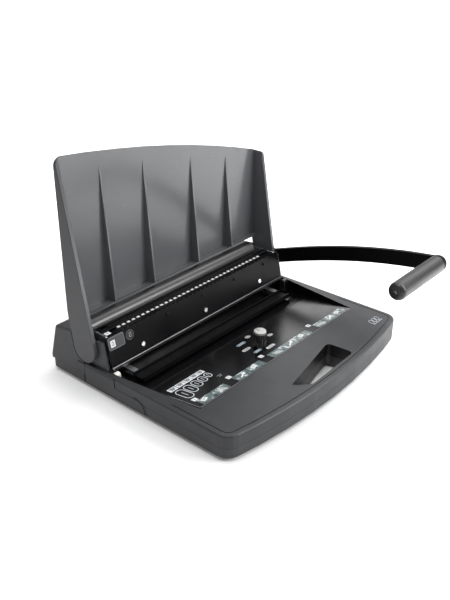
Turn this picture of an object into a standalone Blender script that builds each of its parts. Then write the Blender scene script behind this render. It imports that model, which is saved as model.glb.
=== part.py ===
"""Wire binding machine with a hinged cover, drawn open, with its punching lever down.

A sheet-metal punch sits between two moulded shells. The lever turns a shaft, the shaft's eccentrics
drive a comb of square pins across the paper throat, and the same stroke moves the closer jaw that
squeezes a wire spine shut. The dial sets the closing size, and a drawer catches the paper chips.

Sizes are in millimetres and the helpers scale them to Blender's metres. X runs along the throat,
+Y points to the rear and +Z up. Z is 0 on the table, and Y is measured from a line 100 mm in front
of the throat. The empty "machine_origin" moves everything so that the origin is the middle of the
bounding box, on the table.
"""

import math

import bmesh
import bpy
from mathutils import Matrix, Vector

MM = 0.001

# Clearances.
FIT = 0.3            # between two pieces that touch or slide
RUNNING_GAP = 1.0    # round anything that swings
SEAM_GAP = 0.7       # round the drawer's front and in front of the rear housing
CUT_PAST = 2.0       # how far a cutter runs beyond the face that it opens

# Punch: the hole pattern decides the width of the whole machine.
PIN_COUNT = 34
PIN_PITCH = 25.4 / 3
PIN_SIZE = 4.4
PIN_TOP = 75.4
PIN_FRONT = 93.0
THROAT_Y = 100.0
THROAT_WIDTH = 3.8
THROAT_FLOOR = 66.5
DIE_THICKNESS = 7.1
DIE_TOP = 76.3
DIE_BOTTOM = 60.0
DIE_FRONT = THROAT_Y - THROAT_WIDTH / 2 - DIE_THICKNESS
STRIPPER_THICKNESS = 6.6
LEAD_IN = 0.8        # chamfer at the mouth of the throat

# Overall shape.
SIDE_MARGIN = 38.75
WIDTH = PIN_COUNT * PIN_PITCH + 2 * SIDE_MARGIN
HALF = WIDTH / 2
SHELL_WALL = 2.5
FOOT_HEIGHT = 2.7
FOOT_RADIUS = 8.0
SEAM_Z = 17.0
DECK_TOP = 34.3
DECK_REAR = 120.0
FRONT_Y = -134.0
FRONT_RADIUS = 860.0
CORNER_RADIUS = 18.0
DECK_EDGE = 2.6      # rounding of the deck's upper edge
GROOVE_INSET = 7.0
GROOVE_SIZE = 1.2
REAR_Y = 184.0
REAR_BULGE = 1.5
REAR_TOP_BACK = (172.0, 69.5)
REAR_TOP_FRONT = (141.5, 73.3)

# Tray in the deck, and its floor from the rear wall to where it runs out at the front.
TRAY_REAR = 83.0
TRAY_REAR_HALF = HALF - 5.7
TRAY_FRONT_HALF = HALF - 23.0
TRAY_FRONT = -54.0
TRAY_WALL = 1.8
TRAY_FLOOR = 18.0
TRAY_FLAT_END = 46.0
TRAY_STEP_END = 26.0
TRAY_STEP_Z = 22.5

# Cover.
HINGE_Y = THROAT_Y + 18.0
HINGE_Z = 56.0
COVER_BACK = HINGE_Y + 26.0
COVER_THICKNESS = 3.0
COVER_BOTTOM = 87.0
COVER_LEFT_TOP = 293.5
COVER_RIGHT_TOP = 221.0
COVER_EDGE_BOW = 10.1
COVER_CORNER = 10.0
COVER_EDGE_ROUND = 0.9
FLANGE_THICKNESS = 5.0
FLANGE_END_RADIUS = 19.5
FLANGE_LEAN = 0.177  # how far its front edge goes back for each millimetre up
FLANGE_BACK = ((21.5, 15.0), (25.0, 34.0))  # its back edge above the hinge
FLANGE_GAP = 1.4
RIB_THICKNESS = 2.5
RIB_DEPTH = 14.5
RIB_X = (-118.0, -47.5, 40.0, 112.0)
RIB_BELOW_EDGE = 5.0
LEDGE_DEPTH = 7.5
LEDGE_Z = (89.0, 91.5)
TRUNNION_RADIUS = 10.5

# Roll-shaped cover over the punch.
ROLL_Y = HINGE_Y + 8.0
ROLL_Z = HINGE_Z + 20.5
ROLL_RADIUS = 13.0
ROLL_WALL = 2.5
ROLL_LEFT = -HALF + 10.7
ROLL_RIGHT = HALF - 34.7

# Front plate, a leaning sheet, with the closer's anvil below it.
PLATE_THICKNESS = 1.6
PLATE_TOP = (DIE_FRONT - 1.7, 76.2)
PLATE_BOTTOM = (PLATE_TOP[0] - 8.9, 39.6)
PLATE_HALF = HALF - 10.7
PLATE_SCREW_X = (-118.0, 1.0, 120.0)
PLATE_SCREW_Z = 48.0
HOOK_X = (-67.5, 2.0, 69.5, 137.0)
HOOK_Z = 68.0
ANVIL_DEPTH = 4.5
ANVIL_HEIGHT = 5.2
BRACKET_THICKNESS = 4.7

# Chassis.
SHEET = 2.0
CHASSIS_Z = 31.0
CHASSIS_HALF = HALF - 14.7
SIDE_PLATE = 2.7
SHAFT_RADIUS = 6.0
BUSH_RADIUS = 9.0
ECCENTRIC_RADIUS = 8.6
ECCENTRIC_THROW = 0.8
ECCENTRIC_X = 110.0
SPRING_X = 60.0
SPRING_RADIUS = 3.2
SPRING_WIRE = 0.6
SPRING_TURNS = 6
RAIL_Y = 133.5

# Closer jaw.
JAW_HALF = 150.0
JAW_REAR = 66.6
JAW_DEPTH = 19.1
JAW_BOTTOM = 21.0
JAW_FLOOR = 3.0
JAW_HEIGHT = 6.0
JAW_LIP = 2.0
LINK_X = 144.0
LINK_WIDTH = 8.0
LINK_Z = (23.0, 26.5)
LINK_REAR = 108.0
GUIDE_WIDTH = 7.0
GUIDE_Y = 73.0
GUIDE_RADIUS = 4.0
GUIDE_TOP = 34.8

# Size dial.
DIAL = (2.0, -13.0)
KNOB_RADIUS = 9.0
KNOB_BOTTOM = 30.0
KNOB_TOP = 47.5
CAP_TOP = 51.0
KNOB_FLUTES = 18
SPINDLE_RADIUS = 3.0
DIAL_CAM_Z = (13.0, 17.0)
DIAL_CAM_RADIUS = 14.0

# Chip drawer, which pulls out to the left.
DRAWER_FRONT_THICKNESS = 2.8
DRAWER_Y = (10.0, DECK_REAR)
DRAWER_LOW_TOP = 20.0
DRAWER_HIGH_TOP = 30.4
DRAWER_STEP_Y = 65.0
DRAWER_CORNER = 12.5
DRAWER_LIFT = 0.9    # from the base pan's floor to the front's lower edge
BIN_Y = (86.0, 117.0)
BIN_Z = (6.0, 22.0)
BIN_RIGHT = 110.0
BIN_WALL = 1.6
BIN_PASSAGE = 20.0   # how far in from the side the deck is opened for the bin

# Lever.
LEVER_GAP = 4.3      # from the base's side to the arm
ARM_THICKNESS = 6.0
ARM_WIDTH = 21.0
ARM_PATH = ((HINGE_Y, 54.0), (62.0, 74.0), (-38.0, 113.0), (-158.5, 125.5))
HUB_RADIUS = 15.0
HUB_CAP = 4.2
GRIP_RADIUS = 12.0
GRIP_LENGTH = 108.5
GRIP_ROUNDING = 7.0
GRIP_HOLE_RADIUS = 3.2
GRIP_HOLE_DEPTH = 5.0

# Handle opening in the deck: its plan, and where its ramp reaches the underside.
# Each corner is (x, y, radius).
HANDLE_PLAN = ((57.0, -82.0, 6.0), (60.0, -120.0, 6.0), (-36.0, -122.0, 4.0), (-57.0, -105.0, 1.5))
HANDLE_BASE = ((57.0, -82.0, 6.0), (60.0, -120.0, 6.0), (12.0, -121.5, 3.0), (6.0, -93.0, 3.0))
HANDLE_SPREAD = 1.6  # how far a corner of the plan moves for each millimetre of its wall

PART_NAME = "wire_binding_machine"


# ---------------------------------------------------------------- scene and materials

def clear_scene():
    for obj in list(bpy.data.objects):
        bpy.data.objects.remove(obj, do_unlink=True)


def collection(name):
    made = bpy.data.collections.new(name)
    bpy.context.scene.collection.children.link(made)
    return made


def material(name, colour, roughness, metallic=0.0):
    made = bpy.data.materials.new(name)
    made.use_nodes = True
    shader = made.node_tree.nodes["Principled BSDF"]
    shader.inputs["Base Color"].default_value = (*colour, 1.0)
    shader.inputs["Roughness"].default_value = roughness
    shader.inputs["Metallic"].default_value = metallic
    made.diffuse_color = (*colour, 1.0)
    return made


def empty(name, place, parent=None):
    """An empty at a machine position. Empties are never rotated, so positions simply add up."""
    made = bpy.data.objects.new(name, None)
    made.empty_display_size = 0.02
    parts.objects.link(made)
    made["place"] = [float(value) for value in place]
    made.location = Vector(place) * MM
    if parent:
        made.parent = parent
        made.location -= Vector(parent["place"]) * MM
    return made


def finish(obj, name, finish_material, parent):
    """Names a shape, gives it its material and moves it from the cutters to the parts."""
    obj.name = name
    obj.data.name = name
    obj.data.materials.clear()
    obj.data.materials.append(finish_material)
    obj.hide_render = False
    obj.display_type = "TEXTURED"
    for owner in list(obj.users_collection):
        owner.objects.unlink(obj)
    parts.objects.link(obj)
    obj.parent = parent
    obj.location -= Vector(parent["place"]) * MM
    obj.data.shade_smooth()
    obj.data.set_sharp_from_angle(angle=math.radians(32))
    return obj


# ---------------------------------------------------------------- shapes

def helper(mesh, place=(0, 0, 0), turn=(0, 0, 0)):
    """A mesh object that starts life as a hidden cutter."""
    obj = bpy.data.objects.new("shape", mesh)
    cutters.objects.link(obj)
    obj.parent = machine
    obj.location = Vector(place) * MM
    obj.rotation_euler = turn
    obj.hide_render = True
    obj.display_type = "WIRE"
    return obj


def mesh_from(bm):
    mesh = bpy.data.meshes.new("shape")
    bm.to_mesh(mesh)
    bm.free()
    return mesh


def block(x, y, z):
    """A box between pairs of limits."""
    bm = bmesh.new()
    bmesh.ops.create_cube(bm, size=1.0)
    size = Vector((x[1] - x[0], y[1] - y[0], z[1] - z[0])) * MM
    bmesh.ops.scale(bm, vec=size, verts=bm.verts)
    return helper(mesh_from(bm), [(pair[0] + pair[1]) / 2 for pair in (x, y, z)])


def rod(axis, centre, radius, ends, sides=24):
    """A cylinder along one axis. centre gives the other two coordinates, in XYZ order."""
    bm = bmesh.new()
    length = (ends[1] - ends[0]) * MM
    bmesh.ops.create_cone(bm, cap_ends=True, segments=sides, radius1=radius * MM,
                          radius2=radius * MM, depth=length)
    middle = (ends[0] + ends[1]) / 2
    place = {"X": (middle, *centre), "Y": (centre[0], middle, centre[1]), "Z": (*centre, middle)}
    turn = {"X": (0, math.pi / 2, 0), "Y": (math.pi / 2, 0, 0), "Z": (0, 0, 0)}
    return helper(mesh_from(bm), place[axis], turn[axis])


def hull(points):
    """The smallest convex solid round some points."""
    bm = bmesh.new()
    for point in points:
        bm.verts.new(Vector(point) * MM)
    made = bmesh.ops.convex_hull(bm, input=bm.verts)
    spare = [item for item in made["geom_interior"] if isinstance(item, bmesh.types.BMVert)]
    bmesh.ops.delete(bm, geom=spare, context="VERTS")
    bmesh.ops.recalc_face_normals(bm, faces=bm.faces)
    return helper(mesh_from(bm))


def extrusion(axis, outline, ends):
    """A flat outline pushed along an axis.

    The outline's two numbers are (y, z) along X, (x, z) along Y and (x, y) along Z.
    """
    curve = bpy.data.curves.new("outline", "CURVE")
    curve.dimensions = "2D"
    curve.fill_mode = "BOTH"
    curve.extrude = (ends[1] - ends[0]) * MM / 2
    spline = curve.splines.new("POLY")
    spline.points.add(len(outline) - 1)
    for point, (across, up) in zip(spline.points, outline):
        point.co = (across * MM, up * MM, 0, 1)
    spline.use_cyclic_u = True
    drawn = bpy.data.objects.new("outline", curve)
    cutters.objects.link(drawn)
    mesh = bpy.data.meshes.new_from_object(drawn.evaluated_get(bpy.context.evaluated_depsgraph_get()))
    bpy.data.objects.remove(drawn)
    bpy.data.curves.remove(curve)
    bm = bmesh.new()
    bm.from_mesh(mesh)
    bmesh.ops.remove_doubles(bm, verts=bm.verts, dist=0.00001)
    bmesh.ops.dissolve_limit(bm, angle_limit=0.001, verts=bm.verts, edges=bm.edges)
    bmesh.ops.recalc_face_normals(bm, faces=bm.faces)
    bm.to_mesh(mesh)
    bm.free()
    middle = (ends[0] + ends[1]) / 2
    quarter = math.pi / 2
    place = {"X": (middle, 0, 0), "Y": (0, middle, 0), "Z": (0, 0, middle)}
    turn = {"X": (quarter, 0, quarter), "Y": (quarter, 0, 0), "Z": (0, 0, 0)}
    return helper(mesh, place[axis], turn[axis])


def turned(profile, axis_place, steps=24):
    """A solid of revolution about a line along X. The profile runs from +X to -X as (x, radius)."""
    mesh = bpy.data.meshes.new("shape")
    points = [(x * MM, 0, radius * MM) for x, radius in profile]
    mesh.from_pydata(points, [(i, i + 1) for i in range(len(points) - 1)], [])
    obj = helper(mesh, (0, *axis_place))
    screw = obj.modifiers.new("turn", "SCREW")
    screw.axis = "X"
    screw.steps = steps
    screw.render_steps = steps
    screw.use_merge_vertices = True
    screw.merge_threshold = 0.00001
    return obj


def modifier_boolean(target, tool, operation):
    modifier = target.modifiers.new(operation.lower(), "BOOLEAN")
    modifier.operation = operation
    modifier.solver = "EXACT"
    modifier.object = tool


def cut(target, *tools):
    for tool in tools:
        modifier_boolean(target, tool, "DIFFERENCE")
    return target


def unite(target, *tools):
    for tool in tools:
        modifier_boolean(target, tool, "UNION")
    return target


def baked(obj):
    """The shape with its modifiers applied, so that its edges can be edited."""
    graph = bpy.context.evaluated_depsgraph_get()
    mesh = bpy.data.meshes.new_from_object(obj.evaluated_get(graph))
    obj.modifiers.clear()
    obj.data = mesh
    return obj


def round_edges(obj, width, segments, chosen):
    """Rounds the sharp edges for which chosen(start, end) holds, in machine coordinates."""
    matrix = obj.matrix_basis
    bm = bmesh.new()
    bm.from_mesh(obj.data)
    picked = []
    for edge in bm.edges:
        if edge.is_manifold and edge.calc_face_angle() > math.radians(30):
            start, end = (matrix @ vert.co / MM for vert in edge.verts)
            if chosen(start, end):
                picked.append(edge)
    bmesh.ops.bevel(bm, geom=picked, offset=width * MM, offset_type="OFFSET", segments=segments,
                    profile=0.5, affect="EDGES", clamp_overlap=True)
    bm.to_mesh(obj.data)
    bm.free()
    return obj


# ---------------------------------------------------------------- outlines

def arc(centre, radius, start, end, pieces):
    """Points on an arc, with its angles in degrees."""
    points = []
    for index in range(pieces + 1):
        angle = math.radians(start + (end - start) * index / pieces)
        points.append((centre[0] + radius * math.cos(angle), centre[1] + radius * math.sin(angle)))
    return points


def rounded(corners, degrees_each=18):
    """A closed outline from (x, y, radius) corners, with each corner replaced by its arc."""
    points = []
    for index, (x, y, radius) in enumerate(corners):
        here = Vector((x, y))
        if not radius:
            points.append((x, y))
            continue
        back = (Vector(corners[index - 1][:2]) - here).normalized()
        ahead = (Vector(corners[(index + 1) % len(corners)][:2]) - here).normalized()
        half_angle = back.angle(ahead) / 2
        centre = here + (back + ahead).normalized() * radius / math.sin(half_angle)
        first = here + back * radius / math.tan(half_angle) - centre
        turn = math.pi - 2 * half_angle
        if back.x * ahead.y - back.y * ahead.x > 0:
            turn = -turn
        pieces = max(2, round(math.degrees(abs(turn)) / degrees_each))
        for step in range(pieces + 1):
            spun = Matrix.Rotation(turn * step / pieces, 2) @ first
            points.append(tuple(centre + spun))
    return points


def strip(path, width):
    """The outline of a band of one width along an open path."""
    left, right = [], []
    for index, point in enumerate(path):
        before = Vector(path[max(index - 1, 0)])
        after = Vector(path[min(index + 1, len(path) - 1)])
        along = (after - before).normalized()
        side = Vector((-along.y, along.x)) * width / 2
        left.append(tuple(Vector(point) + side))
        right.append(tuple(Vector(point) - side))
    return left + right[::-1]


def front_edge(x, inset=0.0):
    """Where the bowed front edge lies at some X."""
    radius = FRONT_RADIUS - inset
    return FRONT_Y + FRONT_RADIUS - math.sqrt(radius * radius - x * x)


def base_outline(inset, rear, rear_radius=0.0):
    """The base seen from above, drawn in by an inset, ending at a straight rear edge."""
    half = HALF - inset
    corner = max(CORNER_RADIUS - inset, 1.0)
    corners = [(-half, rear, rear_radius), (-half, front_edge(half, inset), corner)]
    for step in range(1, 8):
        x = half * (step / 4 - 1)
        corners.append((x, front_edge(x, inset), 0))
    corners += [(half, front_edge(half, inset), corner), (half, rear, rear_radius)]
    return rounded(corners)


def cover_edge(x):
    """Height of the open cover's free edge at some X: it falls to the right in a shallow bow."""
    share = (x + HALF) / WIDTH
    fall = COVER_LEFT_TOP - COVER_RIGHT_TOP
    return COVER_LEFT_TOP - fall * share + 4 * COVER_EDGE_BOW * share * (1 - share)


def flange_front(z):
    """Y of a flange's front edge at some height."""
    return HINGE_Y - FLANGE_END_RADIUS + FLANGE_LEAN * (z - HINGE_Z)


def tray_floor(y):
    """Height of the tray's floor at some Y."""
    if y >= TRAY_FLAT_END:
        return TRAY_FLOOR
    if y >= TRAY_STEP_END:
        share = (TRAY_FLAT_END - y) / (TRAY_FLAT_END - TRAY_STEP_END)
        return TRAY_FLOOR + share * (TRAY_STEP_Z - TRAY_FLOOR)
    share = (TRAY_STEP_END - y) / (TRAY_STEP_END - TRAY_FRONT)
    return TRAY_STEP_Z + share * (DECK_TOP - TRAY_STEP_Z)


def tray_half(y):
    """Half the tray's width at some Y: it narrows towards the front."""
    slope = (TRAY_REAR_HALF - TRAY_FRONT_HALF) / (TRAY_REAR - TRAY_FRONT)
    return TRAY_REAR_HALF - slope * (TRAY_REAR - y)


def pin_x(index):
    return (index - (PIN_COUNT - 1) / 2) * PIN_PITCH


# ---------------------------------------------------------------- base shells

def tray_solid(drop, spread, top):
    """The tray's space, grown downwards by a drop and sideways by a spread, up to a height."""
    run_out = TRAY_FRONT - 8.0 if drop == 0 else TRAY_FRONT
    rear = TRAY_REAR + (spread if drop else 0)
    profile = [(rear, top), (run_out, top), (run_out, tray_floor(run_out) - drop),
               (TRAY_STEP_END, TRAY_STEP_Z - drop), (TRAY_FLAT_END, TRAY_FLOOR - drop),
               (rear, TRAY_FLOOR - drop)]
    solid = extrusion("X", profile, (-1, 1))
    for vert in solid.data.vertices:
        half = tray_half(vert.co.x / MM) + spread
        vert.co.z = math.copysign(half * MM, vert.co.z)
    return solid


def handle_solid(grow=0.0, z=(0, 1)):
    """The handle opening as a ramped cutter or, grown, as the block that its walls are cut from."""
    if not grow:
        top = [(x, y, DECK_TOP + CUT_PAST) for x, y in rounded(HANDLE_PLAN)]
        return hull(top + [(x, y, 0) for x, y in rounded(HANDLE_BASE)])
    corners = [Vector(corner[:2]) for corner in HANDLE_PLAN]
    centre = sum(corners, Vector((0, 0))) / len(corners)
    outline = []
    for corner in corners:
        away = (corner - centre).normalized()
        outline.append(tuple(corner + away * grow * HANDLE_SPREAD))
    return extrusion("Z", outline, z)


def drawer_front_outline(gap=0.0):
    """The drawer's front seen from the left side, grown by a gap."""
    low, high = DRAWER_Y[0] - gap, DRAWER_Y[1]
    bottom = SHELL_WALL + FOOT_HEIGHT + FIT + DRAWER_LIFT - gap
    return rounded([(low, bottom, 0), (high, bottom, 0), (high, DRAWER_HIGH_TOP + gap, 0),
                    (DRAWER_STEP_Y - gap, DRAWER_HIGH_TOP + gap, 0),
                    (DRAWER_STEP_Y - gap, DRAWER_LOW_TOP + gap, 0),
                    (low, DRAWER_LOW_TOP + gap, DRAWER_CORNER)])


def drawer_notch():
    """Room for the drawer's front in the shells' left side, open towards the rear housing."""
    outline = []
    for y, z in drawer_front_outline(SEAM_GAP):
        at_rear = y > DECK_REAR - FIT
        outline.append((y + CUT_PAST if at_rear else y, z))
    return extrusion("X", outline, (-HALF - CUT_PAST, -HALF + DRAWER_FRONT_THICKNESS + FIT))


def bin_passage():
    """Room for the bin to slide out below the left-hand rim of the deck."""
    return block((-HALF - CUT_PAST, -HALF + BIN_PASSAGE), (BIN_Y[0] - RUNNING_GAP, BIN_Y[1] + RUNNING_GAP),
                 (0, BIN_Z[1] + RUNNING_GAP))


def base_pan(root):
    bottom = FOOT_HEIGHT + FIT
    pan = extrusion("Z", base_outline(0, REAR_Y, 6), (bottom, SEAM_Z))
    round_edges(pan, 1.8, 1, lambda a, b: max(a.z, b.z) < bottom + 0.1)
    inside = extrusion("Z", base_outline(SHELL_WALL, REAR_Y - SHELL_WALL, 4),
                       (bottom + SHELL_WALL, SEAM_Z + 5))
    cut(inside, handle_solid(SHELL_WALL, (0, SEAM_Z + 10)))
    cut(pan, inside, handle_solid(), drawer_notch())
    return finish(pan, "base_pan", body_plastic, root)


def top_deck(root):
    bottom = SEAM_Z + FIT
    deck = extrusion("Z", base_outline(0, DECK_REAR), (bottom, DECK_TOP))

    def upper_rim(start, end):
        """The upper edge at the front and the sides, but not at the straight rear."""
        on_top = min(start.z, end.z) > DECK_TOP - 0.1
        at_front = max(start.y, end.y) < DECK_REAR - 1
        at_side = min(abs(start.x), abs(end.x)) > HALF - 0.1
        return on_top and (at_front or at_side)

    round_edges(deck, DECK_EDGE, 3, upper_rim)
    hollow = extrusion("Z", base_outline(SHELL_WALL, TRAY_REAR), (0, DECK_TOP - SHELL_WALL))
    window_half = HALF - 8.7
    window = block((-window_half, window_half), (TRAY_REAR + TRAY_WALL, DECK_REAR + 5),
                   (0, DECK_TOP + 5))
    cut(deck, hollow, window)
    unite(deck, tray_solid(SHELL_WALL, TRAY_WALL, DECK_TOP - 1),
          handle_solid(SHELL_WALL, (bottom, DECK_TOP - 1)))
    ring = extrusion("Z", base_outline(GROOVE_INSET, TRAY_FRONT + 30),
                     (DECK_TOP - GROOVE_SIZE, DECK_TOP + 2))
    cut(ring, extrusion("Z", base_outline(GROOVE_INSET + GROOVE_SIZE, TRAY_FRONT + 40),
                        (DECK_TOP - 5, DECK_TOP + 5)))
    spindle_hole = rod("Z", DIAL, SPINDLE_RADIUS + FIT, (0, DECK_TOP + 5), 16)
    cut(deck, tray_solid(0, 0, DECK_TOP + 10), handle_solid(), ring, spindle_hole,
        drawer_notch(), bin_passage())
    for side in (-1, 1):
        x = sorted((side * (LINK_X - LINK_WIDTH / 2 - RUNNING_GAP),
                    side * (LINK_X + LINK_WIDTH / 2 + RUNNING_GAP)))
        cut(deck, block(x, (TRAY_REAR - 5, TRAY_REAR + 10),
                        (LINK_Z[0] - RUNNING_GAP, LINK_Z[1] + RUNNING_GAP)))
    return finish(deck, "top_deck", body_plastic, root)


def rear_housing(root):
    """The raised rear shell. Its front edge stays clear of the cover's round flange ends."""
    kink = (HINGE_Y + FLANGE_BACK[0][0] + FLANGE_GAP, HINGE_Z + FLANGE_BACK[0][1])
    notch = [kink, *arc((HINGE_Y, HINGE_Z), FLANGE_END_RADIUS + FLANGE_GAP, 5, -84, 10)]
    front = DECK_REAR + SEAM_GAP
    outer = [(front, SEAM_Z + FIT), (REAR_Y, SEAM_Z + FIT), (REAR_Y + REAR_BULGE, SEAM_Z + 7),
             *rounded([(REAR_Y + REAR_BULGE, SEAM_Z + 7, 0), (*REAR_TOP_BACK, 4),
                       (*REAR_TOP_FRONT, 0)])[1:], *notch, (front, notch[-1][1])]
    wall = SHELL_WALL
    slope = (REAR_TOP_FRONT[1] - REAR_TOP_BACK[1]) / (REAR_TOP_BACK[0] - REAR_TOP_FRONT[0])
    inner_back = (REAR_TOP_BACK[0] - wall * 1.2, REAR_TOP_BACK[1] - wall)
    mouth = THROAT_Y
    inner = [(mouth, 0), (REAR_Y - wall, 0), (REAR_Y + REAR_BULGE - wall, SEAM_Z + 7), inner_back,
             (mouth, inner_back[1] + slope * (inner_back[0] - mouth))]
    shell = extrusion("X", outer, (-HALF, HALF))
    round_edges(shell, 3.0, 2, lambda a, b: abs(a.x) > HALF - 0.1 and abs(b.x) > HALF - 0.1
                and min(a.y, b.y) > REAR_TOP_FRONT[0] - 0.1 and min(a.z, b.z) > SEAM_Z + 1)
    cut(shell, extrusion("X", inner, (-HALF + wall, HALF - wall)))
    return finish(shell, "rear_housing", body_plastic, root)


def feet(root):
    for name, x, y in (("front_left", -1, -92), ("front_right", 1, -92),
                       ("rear_left", -1, 160), ("rear_right", 1, 160)):
        foot = rod("Z", (x * (HALF - 22), y), FOOT_RADIUS, (0, FOOT_HEIGHT), 20)
        finish(foot, "foot_" + name, rubber, root)


# ---------------------------------------------------------------- punch

def punch_cover(root):
    """Half-round cover over the punch, with a straight skirt at the rear and closed ends."""
    centre, inner = (ROLL_Y, ROLL_Z), ROLL_RADIUS - ROLL_WALL
    skirt = ROLL_Z - 4.5
    band = [*arc(centre, ROLL_RADIUS, 180, 0, 14), (ROLL_Y + ROLL_RADIUS, skirt),
            (ROLL_Y + inner, skirt), *arc(centre, inner, 0, 180, 14)]
    cover = extrusion("X", band, (ROLL_LEFT, ROLL_RIGHT))
    cap = arc((ROLL_Y, ROLL_Z + FIT), ROLL_RADIUS - 0.8, 180, 0, 14)
    unite(cover, extrusion("X", cap, (ROLL_LEFT + FIT, ROLL_LEFT + ROLL_WALL)),
          extrusion("X", cap, (ROLL_RIGHT - ROLL_WALL, ROLL_RIGHT - FIT)))
    return finish(cover, "punch_cover", body_plastic, root)


def pin_holes(y):
    """All the pin holes of a bar as one cutter."""
    bm = bmesh.new()
    size = PIN_SIZE + 2 * FIT
    for index in range(PIN_COUNT):
        place = Vector((pin_x(index), (y[0] + y[1]) / 2, PIN_TOP - PIN_SIZE / 2)) * MM
        scale = Matrix.Diagonal((size * MM, (y[1] - y[0]) * MM, size * MM, 1))
        bmesh.ops.create_cube(bm, size=1.0, matrix=Matrix.Translation(place) @ scale)
    return helper(mesh_from(bm))


def bars(root):
    """The die in front of the throat and the stripper behind it. The die's foot stops the paper."""
    front = THROAT_Y - THROAT_WIDTH / 2
    rear = THROAT_Y + THROAT_WIDTH / 2
    half = CHASSIS_HALF - SIDE_PLATE - FIT
    die = [(DIE_FRONT, DIE_BOTTOM), (rear - FIT, DIE_BOTTOM), (rear - FIT, THROAT_FLOOR),
           (front, THROAT_FLOOR), (front, DIE_TOP - LEAD_IN), (front - LEAD_IN, DIE_TOP),
           (DIE_FRONT, DIE_TOP)]
    stripper = [(rear, DIE_BOTTOM), (rear + STRIPPER_THICKNESS, DIE_BOTTOM),
                (rear + STRIPPER_THICKNESS, DIE_TOP + 0.7), (rear + LEAD_IN, DIE_TOP + 0.7),
                (rear, DIE_TOP + 0.7 - LEAD_IN)]
    die_bar = extrusion("X", die, (-half, half))
    cut(die_bar, pin_holes((DIE_FRONT - 1, front + 1)))
    finish(die_bar, "die_bar", black_steel, root)
    stripper_bar = extrusion("X", stripper, (-half, half))
    cut(stripper_bar, pin_holes((rear - 0.5, rear + STRIPPER_THICKNESS + 1)))
    finish(stripper_bar, "stripper_bar", black_steel, root)


def punch_slide(slide):
    """The comb of pins, and the bar below it that the eccentrics push."""
    rear_of_stripper = THROAT_Y + THROAT_WIDTH / 2 + STRIPPER_THICKNESS
    bar_front = rear_of_stripper + RUNNING_GAP
    bar_rear = bar_front + 5.0
    half = pin_x(PIN_COUNT - 1) + PIN_PITCH
    outline = [(half, bar_front), (half, bar_rear), (-half, bar_rear), (-half, bar_front)]
    for index in range(PIN_COUNT):
        left, right = pin_x(index) - PIN_SIZE / 2, pin_x(index) + PIN_SIZE / 2
        outline += [(left, bar_front), (left, PIN_FRONT), (right, PIN_FRONT), (right, bar_front)]
    comb = extrusion("Z", outline, (PIN_TOP - PIN_SIZE, PIN_TOP))
    finish(comb, "punch_comb", bright_steel, slide)
    carrier_top = PIN_TOP - PIN_SIZE - FIT
    carrier = block((-half, half), (bar_front, bar_rear), (HINGE_Z + ECCENTRIC_RADIUS
                    + ECCENTRIC_THROW + FIT, carrier_top))
    finish(carrier, "punch_carrier", black_steel, slide)
    return bar_rear


def chassis(root):
    half = CHASSIS_HALF
    front = DIE_FRONT
    legs_front = BIN_Y[1] + 4.0
    rear = ROLL_Y + ROLL_RADIUS
    plate = block((-half + SIDE_PLATE + FIT, half - SIDE_PLATE - FIT), (front + 2, rear),
                  (CHASSIS_Z, CHASSIS_Z + SHEET))
    finish(plate, "chassis_plate", zinc_steel, root)
    foot = FOOT_HEIGHT + FIT + SHELL_WALL + FIT
    outline = rounded([(legs_front, foot, 0), (rear, foot, 0), (rear, ROLL_Z - 8, 3),
                       (rear - 6, ROLL_Z - 1, 0), (front, ROLL_Z - 1, 3), (front, CHASSIS_Z, 0),
                       (legs_front, CHASSIS_Z, 0)])
    for name, side in (("left", -1), ("right", 1)):
        x = sorted((side * half, side * (half - SIDE_PLATE)))
        side_plate = extrusion("X", outline, x)
        cut(side_plate, rod("X", (HINGE_Y, HINGE_Z), BUSH_RADIUS + FIT, (x[0] - 5, x[1] + 5)))
        finish(side_plate, "side_plate_" + name, zinc_steel, root)
        bush = rod("X", (HINGE_Y, HINGE_Z), BUSH_RADIUS, (x[0] - 0.5, x[1] + 0.5))
        cut(bush, rod("X", (HINGE_Y, HINGE_Z), SHAFT_RADIUS + FIT, (x[0] - 5, x[1] + 5)))
        finish(bush, "shaft_bush_" + name, nylon, root)
    rail = block((-half + 8, half - 8), (RAIL_Y, RAIL_Y + SHEET), (CHASSIS_Z + SHEET + FIT, 73))
    finish(rail, "spring_rail", zinc_steel, root)


def springs(root, bar_rear):
    """Return springs between the punch carrier and the rail behind it."""
    start, end = bar_rear + FIT + SPRING_WIRE, RAIL_Y - FIT - SPRING_WIRE
    height = PIN_TOP - PIN_SIZE - FIT - SPRING_RADIUS - SPRING_WIRE
    for name, x in (("left", -SPRING_X), ("right", SPRING_X)):
        curve = bpy.data.curves.new("coil", "CURVE")
        curve.dimensions = "3D"
        curve.bevel_depth = SPRING_WIRE * MM
        curve.bevel_resolution = 0
        curve.use_fill_caps = True
        count = SPRING_TURNS * 10
        spline = curve.splines.new("POLY")
        spline.points.add(count)
        for index, point in enumerate(spline.points):
            angle = 2 * math.pi * index / 10
            point.co = (SPRING_RADIUS * math.cos(angle) * MM, (end - start) * MM * index / count,
                        SPRING_RADIUS * math.sin(angle) * MM, 1)
        coil = bpy.data.objects.new("coil", curve)
        coil.location = Vector((x, start, height)) * MM
        finish(coil_as_mesh(coil), "return_spring_" + name, bright_steel, root)


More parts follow.
